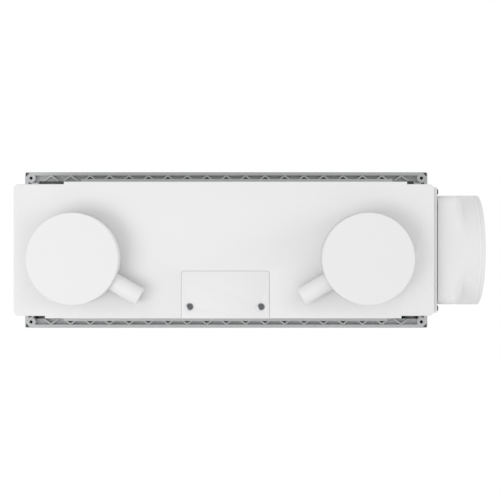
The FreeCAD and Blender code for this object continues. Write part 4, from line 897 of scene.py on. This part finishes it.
class HEATRECOVERY_OT_filters(RecoveryOperator, bpy.types.Operator):
    """Makes the two filter cassettes with pleated fleece"""

    bl_idname = "heat_recovery.filters"
    bl_label = "Filters"

    def execute(self, context):
        sizes = self.sizes()
        # Label, the axis that air takes, the axis the pleats are spaced along, and the pleats' own axis.
        for label, through, spaced, run in (("outdoor_filter", 0, 1, 2), ("room_filter", 1, 0, 2)):
            softened(f"{label}_frame", sizes.edge)
            low, high = box_of(f"{label}_medium")
            size = high - low
            pleats = int(size[spaced] / sizes.pleat_pitch)
            bm = bmesh.new()
            bmesh.ops.create_grid(bm, x_segments=pleats * 2, y_segments=1, size=0.5)
            for vert in bm.verts:
                column = round((vert.co.x + 0.5) * pleats * 2)
                place = Vector()
                place[spaced] = vert.co.x * (size[spaced] - 1 * MM)
                place[run] = vert.co.y * (size[run] - 0.4 * MM)
                place[through] = (0.5 if column % 2 else -0.5) * (size[through] - 2.4 * MM)
                vert.co = place + (low + high) / 2
            bmesh.ops.solidify(bm, geom=bm.faces[:], thickness=1.2 * MM)
            bmesh.ops.recalc_face_normals(bm, faces=bm.faces)
            edges = [edge for edge in bm.edges
                     if edge.calc_face_angle(0) > SHARP and edge.calc_length() > size[run] / 2]
            bmesh.ops.bevel(bm, geom=edges, offset=0.35 * MM, offset_type="OFFSET", segments=2, profile=0.5,
                            affect="EDGES", clamp_overlap=True, material=-1)
            finish(bm, f"{label}_pleats", f"{label}_medium")
        return {"FINISHED"}


class HEATRECOVERY_OT_fans(RecoveryOperator, bpy.types.Operator):
    """Makes both axial fans: casing, finned motor, bladed impeller and gasket"""

    bl_idname = "heat_recovery.fans"
    bl_label = "Fans"

    def blade(self, bm, turn):
        """One twisted, cambered blade, of one thickness from root to tip."""
        sizes = self.sizes()
        part = bmesh.new()
        bmesh.ops.create_grid(part, x_segments=10, y_segments=8, size=0.5)
        for vert in part.verts:
            out, across = vert.co.x + 0.5, vert.co.y
            radius = sizes.hub - 1.5 * MM + out * (sizes.blade_tip - sizes.hub + 1.5 * MM)
            rounding = 0.35 * max(0, out - 0.85) / 0.15 * abs(2 * across) ** 3
            chord = sizes.blade_chord * (0.82 + 0.18 * out) * (1 - rounding)
            pitch = math.radians(52 - 20 * out)
            camber = 2.6 * MM * (1 - 4 * across * across)
            sweep = math.radians(14) * out * out
            run, lift = chord * across, camber
            sideways = run * math.cos(pitch) - lift * math.sin(pitch)
            rise = run * math.sin(pitch) + lift * math.cos(pitch)
            angle = sideways / radius + sweep
            vert.co = (radius * math.cos(angle), radius * math.sin(angle), rise)
        bmesh.ops.solidify(part, geom=part.faces[:], thickness=1.5 * MM)
        bmesh.ops.recalc_face_normals(part, faces=part.faces)
        join(bm, part, turn)

    def execute(self, context):
        sizes = self.sizes()
        for air in ("supply", "exhaust"):
            softened(f"{air}_fan_casing", sizes.edge)
            softened(f"{air}_fan_gasket", sizes.edge * 0.8)
            axis = JOINT_AT[f"{air}_fan_spin"]

            low, high = box_of(f"{air}_impeller")
            hub_low = box_of(f"{air}_fan_casing")[0].y + 7 * MM - low.y
            depth = high.y - low.y
            hub = sizes.hub
            profile = [(0, 0), (2.4 * MM, 0), (3 * MM, 0.6 * MM), (3 * MM, hub_low),
                       (hub - 0.8 * MM, hub_low), (hub, hub_low + 0.8 * MM), (hub, depth - 9 * MM),
                       (hub * 0.95, depth - 5.6 * MM), (hub * 0.82, depth - 3 * MM),
                       (hub * 0.6, depth - 1.2 * MM), (hub * 0.3, depth - 0.3 * MM), (0, depth)]
            bm = bmesh.new()
            base = along((0, 1, 0), (axis[0], low.y, axis[2]))
            spin_up(bm, profile, 72, base)
            middle = (hub_low + depth - 8 * MM) / 2
            for number in range(sizes.blades):
                turn = Matrix.Rotation(math.tau * number / sizes.blades, 4, "Z")
                self.blade(bm, base @ Matrix.Translation((0, 0, middle)) @ turn)
            finish(bm, f"{air}_fan_wheel", f"{air}_impeller")

            low, high = box_of(f"{air}_fan_motor")
            radius, depth = (high.x - low.x) / 2, high.y - low.y
            bm = bmesh.new()
            base = along((0, 1, 0), (axis[0], low.y, axis[2]))
            profile = [(0, 0.6 * MM), (4 * MM, 0.6 * MM), (4.6 * MM, 0), (7 * MM, 0), (7.6 * MM, 1.4 * MM),
                       (radius - 3 * MM, 1.4 * MM), (radius - 1.4 * MM, 3 * MM),
                       (radius - 1.4 * MM, depth - 3 * MM), (radius, depth - 2.6 * MM), (radius, depth),
                       (3.1 * MM, depth), (3.1 * MM, 5 * MM), (0, 5 * MM)]
            spin_up(bm, profile, 72, base)
            for number in range(24):
                turn = base @ Matrix.Rotation(math.tau * number / 24, 4, "Z")
                block(bm, (radius - 2 * MM, -0.5 * MM, 3.4 * MM),
                      (radius - 0.1 * MM, 0.5 * MM, depth - 3.2 * MM), 0.2 * MM, 1, turn)
            finish(bm, f"{air}_finned_motor", f"{air}_fan_motor")
        return {"FINISHED"}


class HEATRECOVERY_OT_bypass(RecoveryOperator, bpy.types.Operator):
    """Makes the bypass flap with its bearings and geared motor"""

    bl_idname = "heat_recovery.bypass"
    bl_label = "Bypass"

    def execute(self, context):
        edge = self.sizes().edge
        softened("bypass_flap", edge)
        softened("bypass_bearings", edge)
        softened("bypass_motor", edge * 1.6, 3)
        low, high = box_of("bypass_motor")
        centre = ((low.x + high.x) / 2, high.y, low.z + 9 * MM)
        profile = [(0, -0.5 * MM), (5.6 * MM, -0.5 * MM), (5.6 * MM, 1.4 * MM), (5 * MM, 1.9 * MM),
                   (0, 1.9 * MM)]
        turned("bypass_motor_cap", (), profile, 40, (0, 1, 0), centre, "root", "zinc_steel")
        return {"FINISHED"}


class HEATRECOVERY_OT_inner_walls(RecoveryOperator, bpy.types.Operator):
    """Makes the foam walls, the inner cover and its posts and screws"""

    bl_idname = "heat_recovery.inner_walls"
    bl_label = "Inner walls"

    def execute(self, context):
        sizes = self.sizes()
        for node in ("outdoor_bulkhead", "exhaust_bulkhead", "control_divider", "passage_divider",
                     "rear_foam", "inner_cover"):
            softened(node, sizes.foam_edge if node == "rear_foam" else sizes.foam_edge * 0.6, 3)
        softened("inner_cover_posts", sizes.edge)
        bm = bmesh.new()
        for low, high in spans("inner_cover_screws"):
            middle = (low + high) / 2
            base = low.y + PAN_RISE
            screw(bm, (middle.x, base, middle.z), (0, -1, 0), PAN_HEAD, PAN_RISE, SHANK, high.y - base)
        finish(bm, "inner_cover_pan_screws", "inner_cover_screws")
        return {"FINISHED"}


class HEATRECOVERY_OT_controls(RecoveryOperator, bpy.types.Operator):
    """Makes the control box, its populated board and the air sensors"""

    bl_idname = "heat_recovery.controls"
    bl_label = "Controls"

    def execute(self, context):
        edge = self.sizes().edge
        softened("control_box", edge)
        softened("control_board", edge * 0.4)
        softened("air_sensors", edge * 1.6, 3)
        low, high = box_of("control_board")
        face = high.y - 7.6 * MM
        draw = random.Random(7)
        bm = bmesh.new()
        for number in range(26):
            x = low.x + (0.1 + 0.8 * draw.random()) * (high.x - low.x)
            z = low.z + (0.62 + 0.33 * draw.random()) * (high.z - low.z)
            wide, tall = (2 + 5 * draw.random()) * MM, (1.5 + 4 * draw.random()) * MM
            block(bm, (x, face - 1.2 * MM, z), (x + wide, face + 0.2 * MM, z + tall), 0.2 * MM, 1)
        finish(bm, "control_board_chips", (), "root", "black_plastic")
        bm = bmesh.new()
        profile = [(0, 0), (3.6 * MM, 0), (4 * MM, 0.4 * MM), (4 * MM, 1.6 * MM), (3.8 * MM, 2 * MM),
                   (4 * MM, 2.4 * MM), (4 * MM, 10.6 * MM), (3.6 * MM, 11 * MM), (0, 11 * MM)]
        z = low.z + 0.1 * (high.z - low.z)
        for number in range(5):
            x = low.x + (0.1 + 0.19 * number) * (high.x - low.x)
            spin_up(bm, profile, 32, along((0, -1, 0), (x, face, z)))
        finish(bm, "control_board_capacitors", (), "root", "zinc_steel")
        return {"FINISHED"}


# ---- panel and running -------------------------------------------------------------------------------------

BUILDERS = (
    HEATRECOVERY_OT_stage,
    HEATRECOVERY_OT_housing,
    HEATRECOVERY_OT_caps,
    HEATRECOVERY_OT_terminals,
    HEATRECOVERY_OT_side,
    HEATRECOVERY_OT_frame,
    HEATRECOVERY_OT_panel,
    HEATRECOVERY_OT_exchanger,
    HEATRECOVERY_OT_filters,
    HEATRECOVERY_OT_fans,
    HEATRECOVERY_OT_bypass,
    HEATRECOVERY_OT_inner_walls,
    HEATRECOVERY_OT_controls,
)


class HEATRECOVERY_PT_sidebar(bpy.types.Panel):
    """Lists the sizes, colours and builders of the unit"""

    bl_label = "Heat recovery unit"
    bl_idname = "HEATRECOVERY_PT_sidebar"
    bl_space_type = "VIEW_3D"
    bl_region_type = "UI"
    bl_category = "Heat recovery"

    def draw(self, context):
        scene = context.scene
        for group in (scene.recovery_sizes, scene.recovery_colours, scene.recovery_studio):
            column = self.layout.column()
            for name in group.bl_rna.properties.keys():
                if name not in ("rna_type", "name"):
                    column.prop(group, name)
        for builder in BUILDERS:
            self.layout.operator(builder.bl_idname)


CLASSES = (RecoveryColours, RecoverySizes, RecoveryStudio) + BUILDERS + (HEATRECOVERY_PT_sidebar,)


def register():
    for item in CLASSES:
        bpy.utils.register_class(item)
    scene = bpy.types.Scene
    scene.recovery_colours = bpy.props.PointerProperty(type=RecoveryColours)
    scene.recovery_sizes = bpy.props.PointerProperty(type=RecoverySizes)
    scene.recovery_studio = bpy.props.PointerProperty(type=RecoveryStudio)


def unregister():
    del bpy.types.Scene.recovery_studio
    del bpy.types.Scene.recovery_sizes
    del bpy.types.Scene.recovery_colours
    for item in reversed(CLASSES):
        bpy.utils.unregister_class(item)


def main():
    register()
    for builder in BUILDERS:
        family, name = builder.bl_idname.split(".")
        getattr(getattr(bpy.ops, family), name)()


if __name__ == "__main__":
    main()
